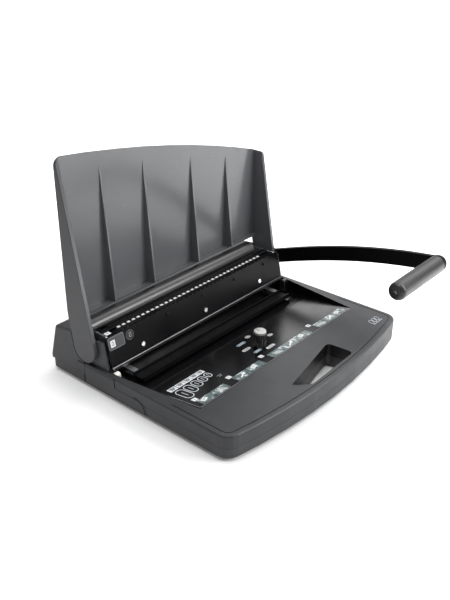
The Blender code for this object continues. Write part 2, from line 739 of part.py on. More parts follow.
def coil_as_mesh(drawn):
    cutters.objects.link(drawn)
    graph = bpy.context.evaluated_depsgraph_get()
    mesh = bpy.data.meshes.new_from_object(drawn.evaluated_get(graph))
    bm = bmesh.new()
    bm.from_mesh(mesh)
    bmesh.ops.remove_doubles(bm, verts=bm.verts, dist=0.00001)
    bmesh.ops.recalc_face_normals(bm, faces=bm.faces)
    bm.to_mesh(mesh)
    bm.free()
    obj = helper(mesh, Vector(drawn.location) / MM)
    curve = drawn.data
    bpy.data.objects.remove(drawn)
    bpy.data.curves.remove(curve)
    return obj


# ---------------------------------------------------------------- front plate and closer

def plate_point(z, forward=0.0):
    """A point on the front plate's face at a height, moved forward along its normal."""
    top, bottom = Vector(PLATE_TOP), Vector(PLATE_BOTTOM)
    along = (top - bottom).normalized()
    out = Vector((-along.y, along.x))
    point = bottom + along * (z - bottom.y) / along.y + out * (PLATE_THICKNESS / 2 + forward)
    return point


def plate_tilt():
    along = Vector(PLATE_TOP) - Vector(PLATE_BOTTOM)
    return math.atan2(along.x, along.y)


def on_plate(obj, x, z, forward):
    """Lays a shape drawn about its own middle on the plate, facing forwards and leaning with it."""
    y, height = plate_point(z, forward)
    obj.location = Vector((x, y, height)) * MM
    obj.rotation_euler = (math.pi / 2 - plate_tilt(), 0, 0)
    return obj


def front_plate(root):
    outline = strip((PLATE_BOTTOM, PLATE_TOP), PLATE_THICKNESS)
    plate = extrusion("X", outline, (-PLATE_HALF, PLATE_HALF))
    finish(plate, "front_plate", satin_black, root)
    for index, x in enumerate(PLATE_SCREW_X):
        head = rod("Z", (0, 0), 3.0, (-0.8, 0.8), 16)
        slot = block((-2.2, 2.2), (-0.4, 0.4), (0.2, 3))
        cut(head, slot)
        slot.parent = head
        on_plate(head, x, PLATE_SCREW_Z, 0.8 + FIT)
        finish(head, f"plate_screw_{index + 1}", bright_steel, root)
    for index, x in enumerate(HOOK_X):
        hook = block((-2.2, 2.2), (-1.6, 1.6), (-0.7, 0.7))
        round_edges(hook, 0.4, 1, lambda a, b: min(a.z, b.z) > 0)
        on_plate(hook, x, HOOK_Z, 0.7 + FIT)
        finish(hook, f"wire_hook_{index + 1}", black_steel, root)
    top = PLATE_BOTTOM[1] - 1.0
    anvil = block((-PLATE_HALF, PLATE_HALF), (TRAY_REAR - 1 - ANVIL_DEPTH, TRAY_REAR - 1),
                  (top - ANVIL_HEIGHT, top))
    round_edges(anvil, 0.8, 1, lambda a, b: abs(a.x - b.x) > 5)
    finish(anvil, "closer_anvil", grey_steel, root)


def end_brackets(root):
    """Plates that close the ends of the punch, each with the trunnion that the cover turns on."""
    low, high = DECK_TOP + FIT, DIE_TOP - 6.0
    boss = TRUNNION_RADIUS + 1.5
    outline = [(PLATE_BOTTOM[0] + 2.0, low), (PLATE_TOP[0] + 0.5, high), (PLATE_TOP[0] + 11, high),
               *arc((HINGE_Y, HINGE_Z), boss, 150, -110, 14), (HINGE_Y - 8, low)]
    flange_inner = HALF - FLANGE_THICKNESS
    for name, side in (("left", -1), ("right", 1)):
        outside = flange_inner - RUNNING_GAP / 2
        x = sorted((side * (outside - BRACKET_THICKNESS), side * outside))
        reach = HALF - 2.5 if side < 0 else HALF - 0.2
        trunnion = rod("X", (HINGE_Y, HINGE_Z), TRUNNION_RADIUS,
                       sorted((side * (outside - 2), side * reach)), 28)
        bracket = unite(extrusion("X", outline, x), trunnion)
        bore = SHAFT_RADIUS + 2 * FIT
        if side > 0:
            cut(bracket, rod("X", (HINGE_Y, HINGE_Z), bore, (x[0] - 5, HALF + 5)))
        finish(bracket, "end_bracket_" + name, body_plastic, root)


def jaw_guides(root):
    for name, side in (("left", -1), ("right", 1)):
        outer = tray_half(GUIDE_Y - GUIDE_RADIUS) - FIT
        x = sorted((side * outer, side * (outer - GUIDE_WIDTH)))
        outline = [(GUIDE_Y + GUIDE_RADIUS, TRAY_FLOOR + FIT)]
        outline += arc((GUIDE_Y, GUIDE_TOP - GUIDE_RADIUS), GUIDE_RADIUS, 0, 180, 10)
        outline += [(GUIDE_Y - GUIDE_RADIUS, TRAY_FLOOR + FIT)]
        finish(extrusion("X", outline, x), "jaw_guide_" + name, nylon, root)


def closer(slide):
    front, rear, lip = JAW_REAR - JAW_DEPTH, JAW_REAR, JAW_LIP
    low, mid, high = JAW_BOTTOM, JAW_BOTTOM + JAW_FLOOR, JAW_BOTTOM + JAW_HEIGHT
    outline = [(front, low), (rear, low), (rear, high), (rear - lip, high), (rear - lip, mid),
               (front + lip, mid), (front + lip, high), (front, high)]
    jaw = extrusion("X", outline, (-JAW_HALF, JAW_HALF))
    finish(jaw, "closer_jaw", satin_black, slide)
    for name, side in (("left", -1), ("right", 1)):
        x = sorted((side * (LINK_X - LINK_WIDTH / 2), side * (LINK_X + LINK_WIDTH / 2)))
        link = block(x, (JAW_REAR + FIT, LINK_REAR), LINK_Z)
        finish(link, "jaw_link_" + name, zinc_steel, slide)


# ---------------------------------------------------------------- dial and drawer

def fluted(radius, depth, count):
    """A round outline with shallow flutes."""
    points = []
    for index in range(count * 2):
        angle = math.pi * index / count
        reach = radius if index % 2 == 0 else radius - depth
        points.append((reach * math.cos(angle), reach * math.sin(angle)))
    return points


def dial(turntable):
    x, y = DIAL
    knob_outline = [(x + px, y + py) for px, py in fluted(KNOB_RADIUS, 0.7, KNOB_FLUTES)]
    knob = extrusion("Z", knob_outline, (KNOB_BOTTOM, KNOB_TOP))
    cut(knob, rod("Z", DIAL, SPINDLE_RADIUS + FIT, (KNOB_BOTTOM - 5, KNOB_BOTTOM + 8), 16))
    finish(knob, "dial_knob", satin_black, turntable)
    cap = rod("Z", DIAL, KNOB_RADIUS - 0.8, (KNOB_TOP + FIT, CAP_TOP), 28)
    round_edges(cap, 0.8, 2, lambda a, b: min(a.z, b.z) > CAP_TOP - 0.1)
    finish(cap, "dial_cap", silver_paint, turntable)
    spindle = rod("Z", DIAL, SPINDLE_RADIUS, (DIAL_CAM_Z[1] + FIT, KNOB_BOTTOM + 7), 16)
    finish(spindle, "dial_spindle", bright_steel, turntable)
    cam = rod("Z", (x + 3, y), DIAL_CAM_RADIUS, DIAL_CAM_Z, 28)
    finish(cam, "dial_cam", nylon, turntable)


def drawer(slide):
    face = extrusion("X", drawer_front_outline(), (-HALF, -HALF + DRAWER_FRONT_THICKNESS))
    finish(face, "drawer_front", body_plastic, slide)
    left = -HALF + DRAWER_FRONT_THICKNESS + FIT
    tray = block((left, BIN_RIGHT), BIN_Y, BIN_Z)
    wall = BIN_WALL
    cut(tray, block((left + wall, BIN_RIGHT - wall), (BIN_Y[0] + wall, BIN_Y[1] - wall),
                    (BIN_Z[0] + wall, BIN_Z[1] + 5)))
    finish(tray, "chip_bin", satin_black, slide)


# ---------------------------------------------------------------- cover and lever

def cover_sides():
    """The cover seen from the side: round at the hinge, with a leaning front edge."""
    above = HINGE_Z + 45
    top = COVER_LEFT_TOP + 5
    return [(COVER_BACK, above), (COVER_BACK, top), (flange_front(top), top),
            *arc((HINGE_Y, HINGE_Z), FLANGE_END_RADIUS, 175, 365, 16),
            *((HINGE_Y + y, HINGE_Z + z) for y, z in FLANGE_BACK)]


def cover(hinge):
    """One moulding: a panel with two side flanges, four ribs and a ledge."""
    front = COVER_BACK - COVER_THICKNESS
    inner = HALF - FLANGE_THICKNESS
    steps = 8
    corners = [(-HALF, 0, 0), (HALF, 0, 0), (HALF, cover_edge(HALF), COVER_CORNER)]
    for step in range(1, steps):
        x = HALF - WIDTH * step / steps
        corners.append((x, cover_edge(x), 0))
    corners.append((-HALF, cover_edge(-HALF), COVER_CORNER))
    shell = extrusion("Y", rounded(corners), (HINGE_Y - 60, HINGE_Y + 60))
    modifier_boolean(shell, extrusion("X", cover_sides(), (-HALF - 5, HALF + 5)), "INTERSECT")
    cut(shell, block((-inner, inner), (HINGE_Y - 80, front), (0, COVER_LEFT_TOP + 50)),
        block((-inner, inner), (HINGE_Y - 90, HINGE_Y + 90), (-5, COVER_BOTTOM)))
    baked(shell)
    round_edges(shell, COVER_EDGE_ROUND, 1, lambda a, b: (a + b).z / 2 > HINGE_Z + 36 and (
        min(a.y, b.y) > COVER_BACK - 0.1 or abs(a.x) > HALF - 0.1 and abs(b.x) > HALF - 0.1))
    for x in RIB_X:
        top = cover_edge(x) - RIB_BELOW_EDGE
        outline = [(front + 1, top), (front - RIB_DEPTH, LEDGE_Z[1] + 1.5),
                   (front + 1, LEDGE_Z[0] + 0.7)]
        unite(shell, extrusion("X", outline, (x - RIB_THICKNESS / 2, x + RIB_THICKNESS / 2)))
    unite(shell, block((-inner - 1, inner + 1), (front - LEDGE_DEPTH, front + 1), LEDGE_Z))
    fit = TRUNNION_RADIUS + FIT
    cut(shell, rod("X", (HINGE_Y, HINGE_Z), fit, (-HALF + 2.2, -inner + 5), 28),
        rod("X", (HINGE_Y, HINGE_Z), fit, (inner - 5, HALF + 5), 28))
    return finish(shell, "cover", body_plastic, hinge)


def bezier(points, pieces):
    p0, p1, p2, p3 = (Vector(point) for point in points)
    path = []
    for index in range(pieces + 1):
        t = index / pieces
        s = 1 - t
        path.append(tuple(p0 * s**3 + p1 * 3 * s * s * t + p2 * 3 * s * t * t + p3 * t**3))
    return path


def lever(turn):
    """Shaft with eccentrics, the flat arm outside the right-hand side, and the grip across its end."""
    axis = (HINGE_Y, HINGE_Z)
    arm_in = HALF + LEVER_GAP
    arm_out = arm_in + ARM_THICKNESS
    shaft_left = -CHASSIS_HALF + FIT
    shaft = rod("X", axis, SHAFT_RADIUS, (shaft_left, arm_out - FIT))
    finish(shaft, "drive_shaft", bright_steel, turn)
    for name, x in (("left", -ECCENTRIC_X), ("right", ECCENTRIC_X)):
        disc = rod("X", (HINGE_Y, HINGE_Z + ECCENTRIC_THROW), ECCENTRIC_RADIUS, (x - 3, x + 3))
        cut(disc, rod("X", axis, SHAFT_RADIUS + FIT, (x - 10, x + 10)))
        finish(disc, "eccentric_" + name, zinc_steel, turn)
    spacer = rod("X", axis, HUB_RADIUS - 1, (HALF + RUNNING_GAP, arm_in - FIT))
    cut(spacer, rod("X", axis, SHAFT_RADIUS + FIT, (HALF - 5, arm_in + 5)))
    finish(spacer, "lever_spacer", nylon, turn)
    grip = ARM_PATH[-1]
    arm = extrusion("X", strip(bezier(ARM_PATH, 14), ARM_WIDTH), (arm_in, arm_out))
    unite(arm, rod("X", axis, HUB_RADIUS, (arm_in, arm_out)),
          rod("X", grip, GRIP_RADIUS - 0.5, (arm_in, arm_out)))
    cut(arm, rod("X", axis, SHAFT_RADIUS + FIT, (arm_in - 5, arm_out + 5)))
    finish(arm, "lever_arm", black_steel, turn)
    hub = [(arm_out + HUB_CAP, 0), (arm_out + HUB_CAP, HUB_RADIUS - 4),
           (arm_out + HUB_CAP - 1.2, HUB_RADIUS - 1), (arm_out + FIT, HUB_RADIUS - 1),
           (arm_out + FIT, 0)]
    finish(baked(turned(hub, axis)), "lever_hub_cap", body_plastic, turn)
    right = arm_in - FIT
    left = right - GRIP_LENGTH
    round_in = GRIP_RADIUS - GRIP_ROUNDING
    body = [(right, 0), (right, GRIP_RADIUS - 0.4), (right - 0.6, GRIP_RADIUS)]
    body += [(left + GRIP_ROUNDING - GRIP_ROUNDING * math.sin(a), round_in + GRIP_ROUNDING
              * math.cos(a)) for a in [math.pi / 8 * step for step in range(5)]]
    body.append((left, GRIP_HOLE_RADIUS))
    body.append((left + GRIP_HOLE_DEPTH, GRIP_HOLE_RADIUS))
    body.append((left + GRIP_HOLE_DEPTH, 0))
    finish(baked(turned(body, grip, 28)), "lever_grip", soft_black, turn)
    screw = rod("X", grip, GRIP_HOLE_RADIUS - FIT, (left + 2.5, left + GRIP_HOLE_DEPTH - FIT), 14)
    finish(screw, "grip_screw", bright_steel, turn)
    end_cap = [(arm_out + HUB_CAP, 0), (arm_out + HUB_CAP, GRIP_RADIUS - 4.5),
               (arm_out + HUB_CAP - 1.2, GRIP_RADIUS - 1.5), (arm_out + FIT, GRIP_RADIUS - 0.5),
               (arm_out + FIT, 0)]
    finish(baked(turned(end_cap, grip, 28)), "grip_end_cap", soft_black, turn)


# ---------------------------------------------------------------- assembly

def origin_shift():
    """The middle of the bounding box in plan, from the pieces that reach furthest."""
    right = HALF + LEVER_GAP + ARM_THICKNESS + HUB_CAP
    front = ARM_PATH[-1][0] - GRIP_RADIUS
    rear = REAR_Y + REAR_BULGE
    return ((right - HALF) / 2, (front + rear) / 2, 0.0)


clear_scene()
parts = collection(PART_NAME)
cutters = collection("cutters")

body_plastic = material("body_plastic", (0.070, 0.071, 0.075), 0.42)
satin_black = material("satin_black", (0.012, 0.012, 0.013), 0.30)
black_steel = material("black_steel", (0.015, 0.015, 0.016), 0.35, 0.6)
grey_steel = material("grey_steel", (0.16, 0.16, 0.165), 0.38, 0.8)
bright_steel = material("bright_steel", (0.72, 0.72, 0.73), 0.22, 1.0)
zinc_steel = material("zinc_steel", (0.45, 0.46, 0.47), 0.40, 1.0)
silver_paint = material("silver_paint", (0.78, 0.78, 0.76), 0.30, 0.3)
soft_black = material("soft_black", (0.030, 0.030, 0.032), 0.48)
nylon = material("nylon", (0.72, 0.72, 0.70), 0.40)
rubber = material("rubber", (0.020, 0.020, 0.020), 0.85)

machine = empty("machine_origin", (0.0, 0.0, 0.0))
machine.location = -Vector(origin_shift()) * MM
hinge_axis = (0.0, HINGE_Y, HINGE_Z)
cover_axis = empty("cover_axis", hinge_axis, machine)
lever_axis = empty("lever_axis", hinge_axis, machine)
dial_axis = empty("dial_axis", (*DIAL, KNOB_BOTTOM), machine)
punch_origin = empty("punch_slide", (0.0, THROAT_Y, PIN_TOP), machine)
jaw_origin = empty("jaw_slide", (0.0, JAW_REAR, JAW_BOTTOM), machine)
drawer_origin = empty("drawer_slide", (-HALF, BIN_Y[0], BIN_Z[0]), machine)

base_pan(machine)
top_deck(machine)
rear_housing(machine)
feet(machine)
punch_cover(machine)
bars(machine)
springs(machine, punch_slide(punch_origin))
chassis(machine)
front_plate(machine)
end_brackets(machine)
jaw_guides(machine)
closer(jaw_origin)
dial(dial_axis)
drawer(drawer_origin)
cover(cover_axis)
lever(lever_axis)
bpy.context.view_layer.update()
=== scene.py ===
# %% [markdown]
# # Dressing a wire binding machine
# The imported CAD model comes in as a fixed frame: every moulding, steel part, screw and spring is
# already in its place, in metres, and rides on its body. This lesson gives each part a finish that
# holds up close to the camera, adds the thin printed and stuck-on things that CAD leaves out, and
# sets a pale studio around the machine.
#
# Nothing here moves a CAD part. Places are read from the frame, so a change of size upstream
# carries the labels along with it.

import math

import bmesh
import bpy
from mathutils import Matrix, Vector


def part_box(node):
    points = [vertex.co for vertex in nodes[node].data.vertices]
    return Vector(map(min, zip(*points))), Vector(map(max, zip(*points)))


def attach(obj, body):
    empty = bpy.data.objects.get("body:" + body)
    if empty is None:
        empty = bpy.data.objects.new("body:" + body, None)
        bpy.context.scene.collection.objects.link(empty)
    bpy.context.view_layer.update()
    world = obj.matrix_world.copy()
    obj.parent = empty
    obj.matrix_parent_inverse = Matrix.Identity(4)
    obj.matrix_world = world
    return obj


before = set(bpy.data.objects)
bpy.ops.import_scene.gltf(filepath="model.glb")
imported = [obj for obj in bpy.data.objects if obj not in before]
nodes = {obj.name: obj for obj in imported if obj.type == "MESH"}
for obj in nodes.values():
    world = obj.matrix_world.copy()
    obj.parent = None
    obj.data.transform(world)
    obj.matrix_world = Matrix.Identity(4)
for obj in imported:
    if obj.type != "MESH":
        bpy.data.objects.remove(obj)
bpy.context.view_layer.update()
MM = 0.001

# %% [markdown]
# ## One origin for every label
# The machine's own middle is a better origin for labels than the frame's, because the frame is
# centred on the whole object, lever included. X is measured from the middle of the deck, Y so that
# the deck's rear edge is at 120 mm, and Z from the table.

# %% Machine coordinates
deck_low, deck_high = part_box("top_deck")
DECK_REAR = 120.0
middle = Vector(((deck_low.x + deck_high.x) / 2, deck_high.y - DECK_REAR * MM, 0.0))


def at(x, y, z):
    """A point in the frame, from millimetres measured on the machine."""
    return middle + Vector((x, y, z)) * MM


print("machine middle:", [round(v / MM, 2) for v in middle])

# %% [markdown]
# ## Camera
# A product shot from the front left: the camera stands 0.87 m away and 0.55 m up, and looks down by
# 28 degrees. The rotation is built from three directions at right angles, which says plainly where
# the lens points and how far the horizon leans.

# %% The camera
CAMERA_PLACE = at(-688.4, -535.6, 550.1)
CAMERA_AZIMUTH = math.radians(-49.84)
CAMERA_ELEVATION = math.radians(27.74)
CAMERA_ROLL = math.radians(0.47)
CAMERA_LENS = 46.04


def camera_turn(azimuth, elevation, roll):
    """The rotation of a camera that looks at the origin from that azimuth and elevation."""
    back = Vector((
        math.sin(azimuth) * math.cos(elevation),
        -math.cos(azimuth) * math.cos(elevation),
        math.sin(elevation),
    ))
    right = Vector((math.cos(azimuth), math.sin(azimuth), 0.0))
    up = back.cross(right)
    level_right = math.cos(roll) * right + math.sin(roll) * up
    level_up = math.cos(roll) * up - math.sin(roll) * right
    return Matrix((level_right, level_up, back)).transposed()


lens = bpy.data.cameras.new("product_camera")
lens.lens = CAMERA_LENS
lens.sensor_width = 36.0
lens.clip_start = 0.05
camera = bpy.data.objects.new("product_camera", lens)
bpy.context.scene.collection.objects.link(camera)
camera.matrix_world = camera_turn(CAMERA_AZIMUTH, CAMERA_ELEVATION, CAMERA_ROLL).to_4x4()
camera.location = CAMERA_PLACE
bpy.context.scene.camera = camera
print("camera at", [round(v, 4) for v in camera.location])

# %% [markdown]
# ## Small tools for shader nodes
# Materials are built in code, so a few helpers keep that readable. One adds a node and feeds its
# inputs by name, each with a plain value or with another node's output. One starts a node group
# with named inputs and outputs. The others stand for the small chains of nodes that come back
# again and again.

# %% Node helpers


def feed(tree, socket, value):
    """Sets a socket to a plain value, or links another node's output to it."""
    if isinstance(value, bpy.types.NodeSocket):
        tree.links.new(value, socket)
    else:
        socket.default_value = value


def add_node(tree, kind, settings=None, values=None):
    """A node of that kind. settings are its properties, values feed its inputs."""
    node = tree.nodes.new(kind)
    for name, value in (settings or {}).items():
        setattr(node, name, value)
    for name, value in (values or {}).items():
        feed(tree, node.inputs[name], value)
    return node


def start_group(name, inputs, outputs):
    """A node group with inputs {name: value} and float outputs. Returns its two ends too."""
    group = bpy.data.node_groups.new(name, "ShaderNodeTree")
    for title, value in inputs.items():
        kind = "NodeSocketVector" if isinstance(value, tuple) else "NodeSocketFloat"
        made = group.interface.new_socket(title, in_out="INPUT", socket_type=kind)
        made.default_value = value
    for title in outputs:
        group.interface.new_socket(title, in_out="OUTPUT", socket_type="NodeSocketFloat")
    return (group, add_node(group, "NodeGroupInput").outputs,
            add_node(group, "NodeGroupOutput").inputs)


def object_place(tree):
    """Object coordinates, which are metres in the frame."""
    return add_node(tree, "ShaderNodeTexCoord").outputs["Object"]


def surface_facing(tree):
    """The direction that the surface faces."""
    return add_node(tree, "ShaderNodeNewGeometry").outputs["Normal"]


def parts_of(tree, vector):
    """The outputs X, Y and Z of that vector."""
    return add_node(tree, "ShaderNodeSeparateXYZ", values={"Vector": vector}).outputs


def vector_maths(tree, operation, first, second=None):
    """A Vector Math node."""
    node = add_node(tree, "ShaderNodeVectorMath", {"operation": operation})
    feed(tree, node.inputs[0], first)
    if second is not None:
        feed(tree, node.inputs[1], second)
    return node.outputs


def spread(tree, source, low, high, to_low=0.0, to_high=1.0):
    """Stretches source from low..high to to_low..to_high, clamped, and returns the output."""
    return add_node(tree, "ShaderNodeMapRange", values={
        "Value": source, "From Min": low, "From Max": high, "To Min": to_low, "To Max": to_high,
    }).outputs["Result"]


def maths(tree, operation, *operands):
    """A Math node. Each operand is a number or another node's output."""
    node = add_node(tree, "ShaderNodeMath", {"operation": operation})
    for socket, value in zip(node.inputs, operands):
        feed(tree, socket, value)
    return node.outputs["Value"]


def noise_on(tree, coordinates, scale, detail=3.0, roughness=0.55, distortion=0.0):
    """A noise value, 0 to 1, on those coordinates."""
    return add_node(tree, "ShaderNodeTexNoise", values={
        "Vector": coordinates, "Scale": scale, "Detail": detail, "Roughness": roughness,
        "Distortion": distortion,
    }).outputs["Fac"]


# %% [markdown]
# ## Group: moulded grain
# The charcoal mouldings come from a spark-eroded tool, which leaves a fine even pebble on the
# plastic, about half a millimetre across. A cell pattern with rounded cells gives the pebbles, and
# a finer noise breaks them up. A second output drifts slowly over the whole part: real mouldings
# are never one even tone, because the plastic flows and cools unevenly.

# %% Moulded grain
grain_group, grain_in, grain_out = start_group(
    "moulded_grain", {"Cells per metre": 1500.0}, ["Height", "Drift"])
grain_place = object_place(grain_group)
pebbles = add_node(grain_group, "ShaderNodeTexVoronoi", {"feature": "SMOOTH_F1"}, {
    "Vector": grain_place, "Scale": grain_in["Cells per metre"], "Smoothness": 0.6,
    "Randomness": 0.9,
})
grain_fine = noise_on(grain_group, grain_place, 4200.0, 2.0)
feed(grain_group, grain_out["Height"],
     maths(grain_group, "MULTIPLY_ADD", grain_fine, 0.35, pebbles.outputs["Distance"]))
feed(grain_group, grain_out["Drift"],
     spread(grain_group, noise_on(grain_group, grain_place, 9.0, 4.0), 0.3, 0.7))
print("group:", grain_group.name)

# %% [markdown]
# ## Group: edge wear
# Edges are where hands, paper and the packing box rub. The Bevel node bends the normal near an
# edge, so the angle between it and the true normal marks edges on any mesh, even one of loose
# triangles. Noise breaks the mark up, because wear never follows a whole edge evenly.

# %% Edge wear
# On the knob's flutes the same mask lays a painted highlight, and on the dial cap's rim partly one.
wear_group, wear_in, wear_out = start_group(
    "edge_wear", {"Width": 0.0008, "Patches per metre": 60.0, "Amount": 0.6}, ["Mask"])
bent = add_node(wear_group, "ShaderNodeBevel", {"samples": 4}, {"Radius": wear_in["Width"]})
agreement = vector_maths(wear_group, "DOT_PRODUCT", bent.outputs["Normal"],
                         surface_facing(wear_group))["Value"]
near_edge = spread(wear_group, maths(wear_group, "SUBTRACT", 1.0, agreement), 0.015, 0.16)
patches = noise_on(wear_group, object_place(wear_group), wear_in["Patches per metre"], 5.0, 0.65)
patchy = spread(wear_group, patches, 0.38, 0.66, 0.25, 1.0)
worn_and_highlight = maths(wear_group, "MULTIPLY", near_edge, patchy)
feed(wear_group, wear_out["Mask"], maths(wear_group, "MULTIPLY", worn_and_highlight, wear_in["Amount"]))
print("group:", wear_group.name)

# %% [markdown]
# ## Group: handling
# Glossy parts show how they were handled: soft smudges where hands went, and hairline scratches
# from paper. Smudges are a slow noise, distorted by itself. Scratches are very long thin cells,
# made by squeezing the coordinates along one direction before the noise reads them.

# %% Smudges and hairlines
hand_group, hand_in, hand_out = start_group(
    "handling", {"Smudges per metre": 22.0, "Squeeze": (1.0, 0.06, 1.0)}, ["Smudge", "Hairline"])
hand_place = object_place(hand_group)
smudges = noise_on(hand_group, hand_place, hand_in["Smudges per metre"], 3.0, 0.6, 1.2)
feed(hand_group, hand_out["Smudge"], spread(hand_group, smudges, 0.42, 0.72))
squeezed = vector_maths(hand_group, "MULTIPLY", hand_place, hand_in["Squeeze"])["Vector"]
hair = noise_on(hand_group, squeezed, 900.0, 2.0)
feed(hand_group, hand_out["Hairline"], spread(hand_group, hair, 0.66, 0.72))
print("group:", hand_group.name)

# %% [markdown]
# ## Group: brushed lines
# Ground and rolled steel carries fine parallel lines. Stretching the coordinates makes a noise
# that hardly changes along the lines and changes quickly across them.

# %% Brushed lines
brush_group, brush_in, brush_out = start_group(
    "brushed_lines", {"Stretch": (40.0, 3000.0, 3000.0)}, ["Lines", "Tarnish"])
brush_place = object_place(brush_group)
stretched = vector_maths(brush_group, "MULTIPLY", brush_place, brush_in["Stretch"])["Vector"]
feed(brush_group, brush_out["Lines"], noise_on(brush_group, stretched, 1.0))
feed(brush_group, brush_out["Tarnish"],
     spread(brush_group, noise_on(brush_group, brush_place, 70.0, 4.0), 0.4, 0.75))
print("group:", brush_group.name)

# %% [markdown]
# ## Group: settled dust
# Dust lies on faces that look up, in drifts. The mask is the upward part of the normal, sharpened,
# times a noise of two sizes.

# %% Settled dust
dust_group, dust_in, dust_out = start_group("settled_dust", {"Amount": 0.1}, ["Mask"])
upward = parts_of(dust_group, surface_facing(dust_group))["Z"]
dust_place = object_place(dust_group)
drifts = spread(dust_group, noise_on(dust_group, dust_place, 30.0, 6.0, 0.7), 0.4, 0.75)
specks = spread(dust_group, noise_on(dust_group, dust_place, 1100.0, 1.0), 0.6, 0.72)
dust = maths(dust_group, "MULTIPLY_ADD", specks, 0.5, drifts)
dust = maths(dust_group, "MULTIPLY", dust, spread(dust_group, upward, 0.6, 1.0))
feed(dust_group, dust_out["Mask"], maths(dust_group, "MULTIPLY", dust, dust_in["Amount"]))
print("group:", dust_group.name)

# %% [markdown]
# ## How a finish is put together
# Every finish has the same bones: a base colour that drifts between two tones, that wear and dust
# lighten, a roughness that smudges and hairlines disturb, and a small height for the Bump node.
# Small functions lay these out, and each finish then differs by its numbers. The shader stays in
# the material, and only colours, masks and heights come out of the groups.

# %% The finish builder
DUST_GREY = (0.20, 0.20, 0.19)


def use_group(tree, group, values=None):
    """Places a node group in a tree, with its own values, and returns its outputs."""
    return add_node(tree, "ShaderNodeGroup", {"node_tree": group}, values).outputs


def blend_colour(tree, factor, first, second):
    """Mixes two colours. Each is an (r, g, b) or an output, and factor is an output."""
    node = add_node(tree, "ShaderNodeMix", {"data_type": "RGBA"})
    feed(tree, node.inputs[0], factor)
    for slot, colour in ((6, first), (7, second)):
        feed(tree, node.inputs[slot], (*colour, 1.0) if isinstance(colour, tuple) else colour)
    return node.outputs[2]


def start_finish(name):
    """A new material, its node tree and its Principled shader."""
    made = bpy.data.materials.new(name)
    made.use_nodes = True
    return made, made.node_tree, made.node_tree.nodes["Principled BSDF"]


def layered_tone(tree, shader, drift, tones, rubbed, dusty=None):
    """Feeds the base colour: two drifting tones, then a rubbed edge, then dust.

    rubbed is the rubbed colour and the edge wear group's values, dusty the amount of dust.
    """
    tone = blend_colour(tree, drift, *tones)
    tone = blend_colour(tree, use_group(tree, wear_group, rubbed[1])["Mask"], tone, rubbed[0])
    if dusty:
        dust_mask = use_group(tree, dust_group, {"Amount": dusty})["Mask"]
        tone = blend_colour(tree, dust_mask, tone, DUST_GREY)
    feed(tree, shader.inputs["Base Color"], tone)


def handled_gloss(tree, shader, gloss, smudged, scratched=0.0, squeeze=None):
    """Feeds the roughness: gloss, plus smudged where hands went and scratched in hairlines."""
    hands = use_group(tree, hand_group, {"Squeeze": squeeze} if squeeze else None)
    roughness = spread(tree, hands["Smudge"], 0.0, 1.0, gloss, gloss + smudged)
    if scratched:
        roughness = maths(tree, "MULTIPLY_ADD", hands["Hairline"], scratched, roughness)
    feed(tree, shader.inputs["Roughness"], roughness)


def bump_into(tree, shader, height, strength, distance):
    """Lets a height disturb the shader's normal, and returns the Bump node."""
    bump = add_node(tree, "ShaderNodeBump", values={
        "Height": height, "Strength": strength, "Distance": distance})
    feed(tree, shader.inputs["Normal"], bump.outputs["Normal"])
    return bump


def relink(tree, socket, make):
    """Puts what make() returns between a socket and the output that feeds it now."""
    feed(tree, socket, make(socket.links[0].from_socket))


print("finish builder ready")

# %% [markdown]
# ## Charcoal mouldings
# The base, the rear housing and the drawer front are satin charcoal plastic with the pebble grain.
# Worn edges show a paler grey, because rubbing polishes the pebbles flat and they catch the light.

# %% Charcoal plastic
CHARCOAL = (0.028, 0.029, 0.032)
CHARCOAL_DRIFT = (0.033, 0.034, 0.037)
CHARCOAL_WORN = (0.085, 0.086, 0.090)
GRAIN_DEPTH = 0.0002


def charcoal_plastic(name, gloss, grain_strength, colour=CHARCOAL, drift=CHARCOAL_DRIFT):
    """A charcoal moulding. gloss is its roughness in the clear, before smudges."""
    made, tree, shader = start_finish(name)
    grain = use_group(tree, grain_group)
    layered_tone(tree, shader, grain["Drift"], (colour, drift), (CHARCOAL_WORN, {"Amount": 0.55}),
                 0.05)
    handled_gloss(tree, shader, gloss, 0.07)
    bump_into(tree, shader, grain["Height"], grain_strength, GRAIN_DEPTH)
    return made, tree, shader


body_finish, _, _ = charcoal_plastic("charcoal_moulding", 0.42, 0.30)
print("finish:", body_finish.name)

# %% [markdown]
# ## The deck and its black tray
# The deck is one moulding, but its tray is gloss black where the wire and the paper lie, and the
# satin charcoal starts at the tray's rim. The boundary is a shape in plan, a trapezium that widens
# to the rear, so three comparisons on Object coordinates say whether a point is inside it. The
# steep walls of the carrying handle's opening are painted black too, as painted shade inside the
# opening: a box in plan finds the opening, and the upward part of the normal tells a wall from the
# ramp.

# %% Deck finish
TRAY_FRONT = -54.6
TRAY_REAR = 84.0
TRAY_FRONT_HALF = 160.4
TRAY_REAR_HALF = 177.8
# The tray's own gloss black, also used for the painted shade on the opening's walls.
TRAY_AND_SHADE_BLACK = (0.0015, 0.0015, 0.002)
WELL_X = (-62.0, 63.0)
WELL_Y = (-124.0, -79.0)
WELL_STEEP = 0.5
TRAY_POLISH = -0.20  # what the tray's roughness loses
# The deck's charcoal is a darker copy of the body's: painted shade on its top, which the lamps
# light more.
deck_finish, deck_tree, deck_shader = charcoal_plastic(
    "deck_moulding", 0.40, 0.30, (0.021, 0.022, 0.025), (0.025, 0.026, 0.029))


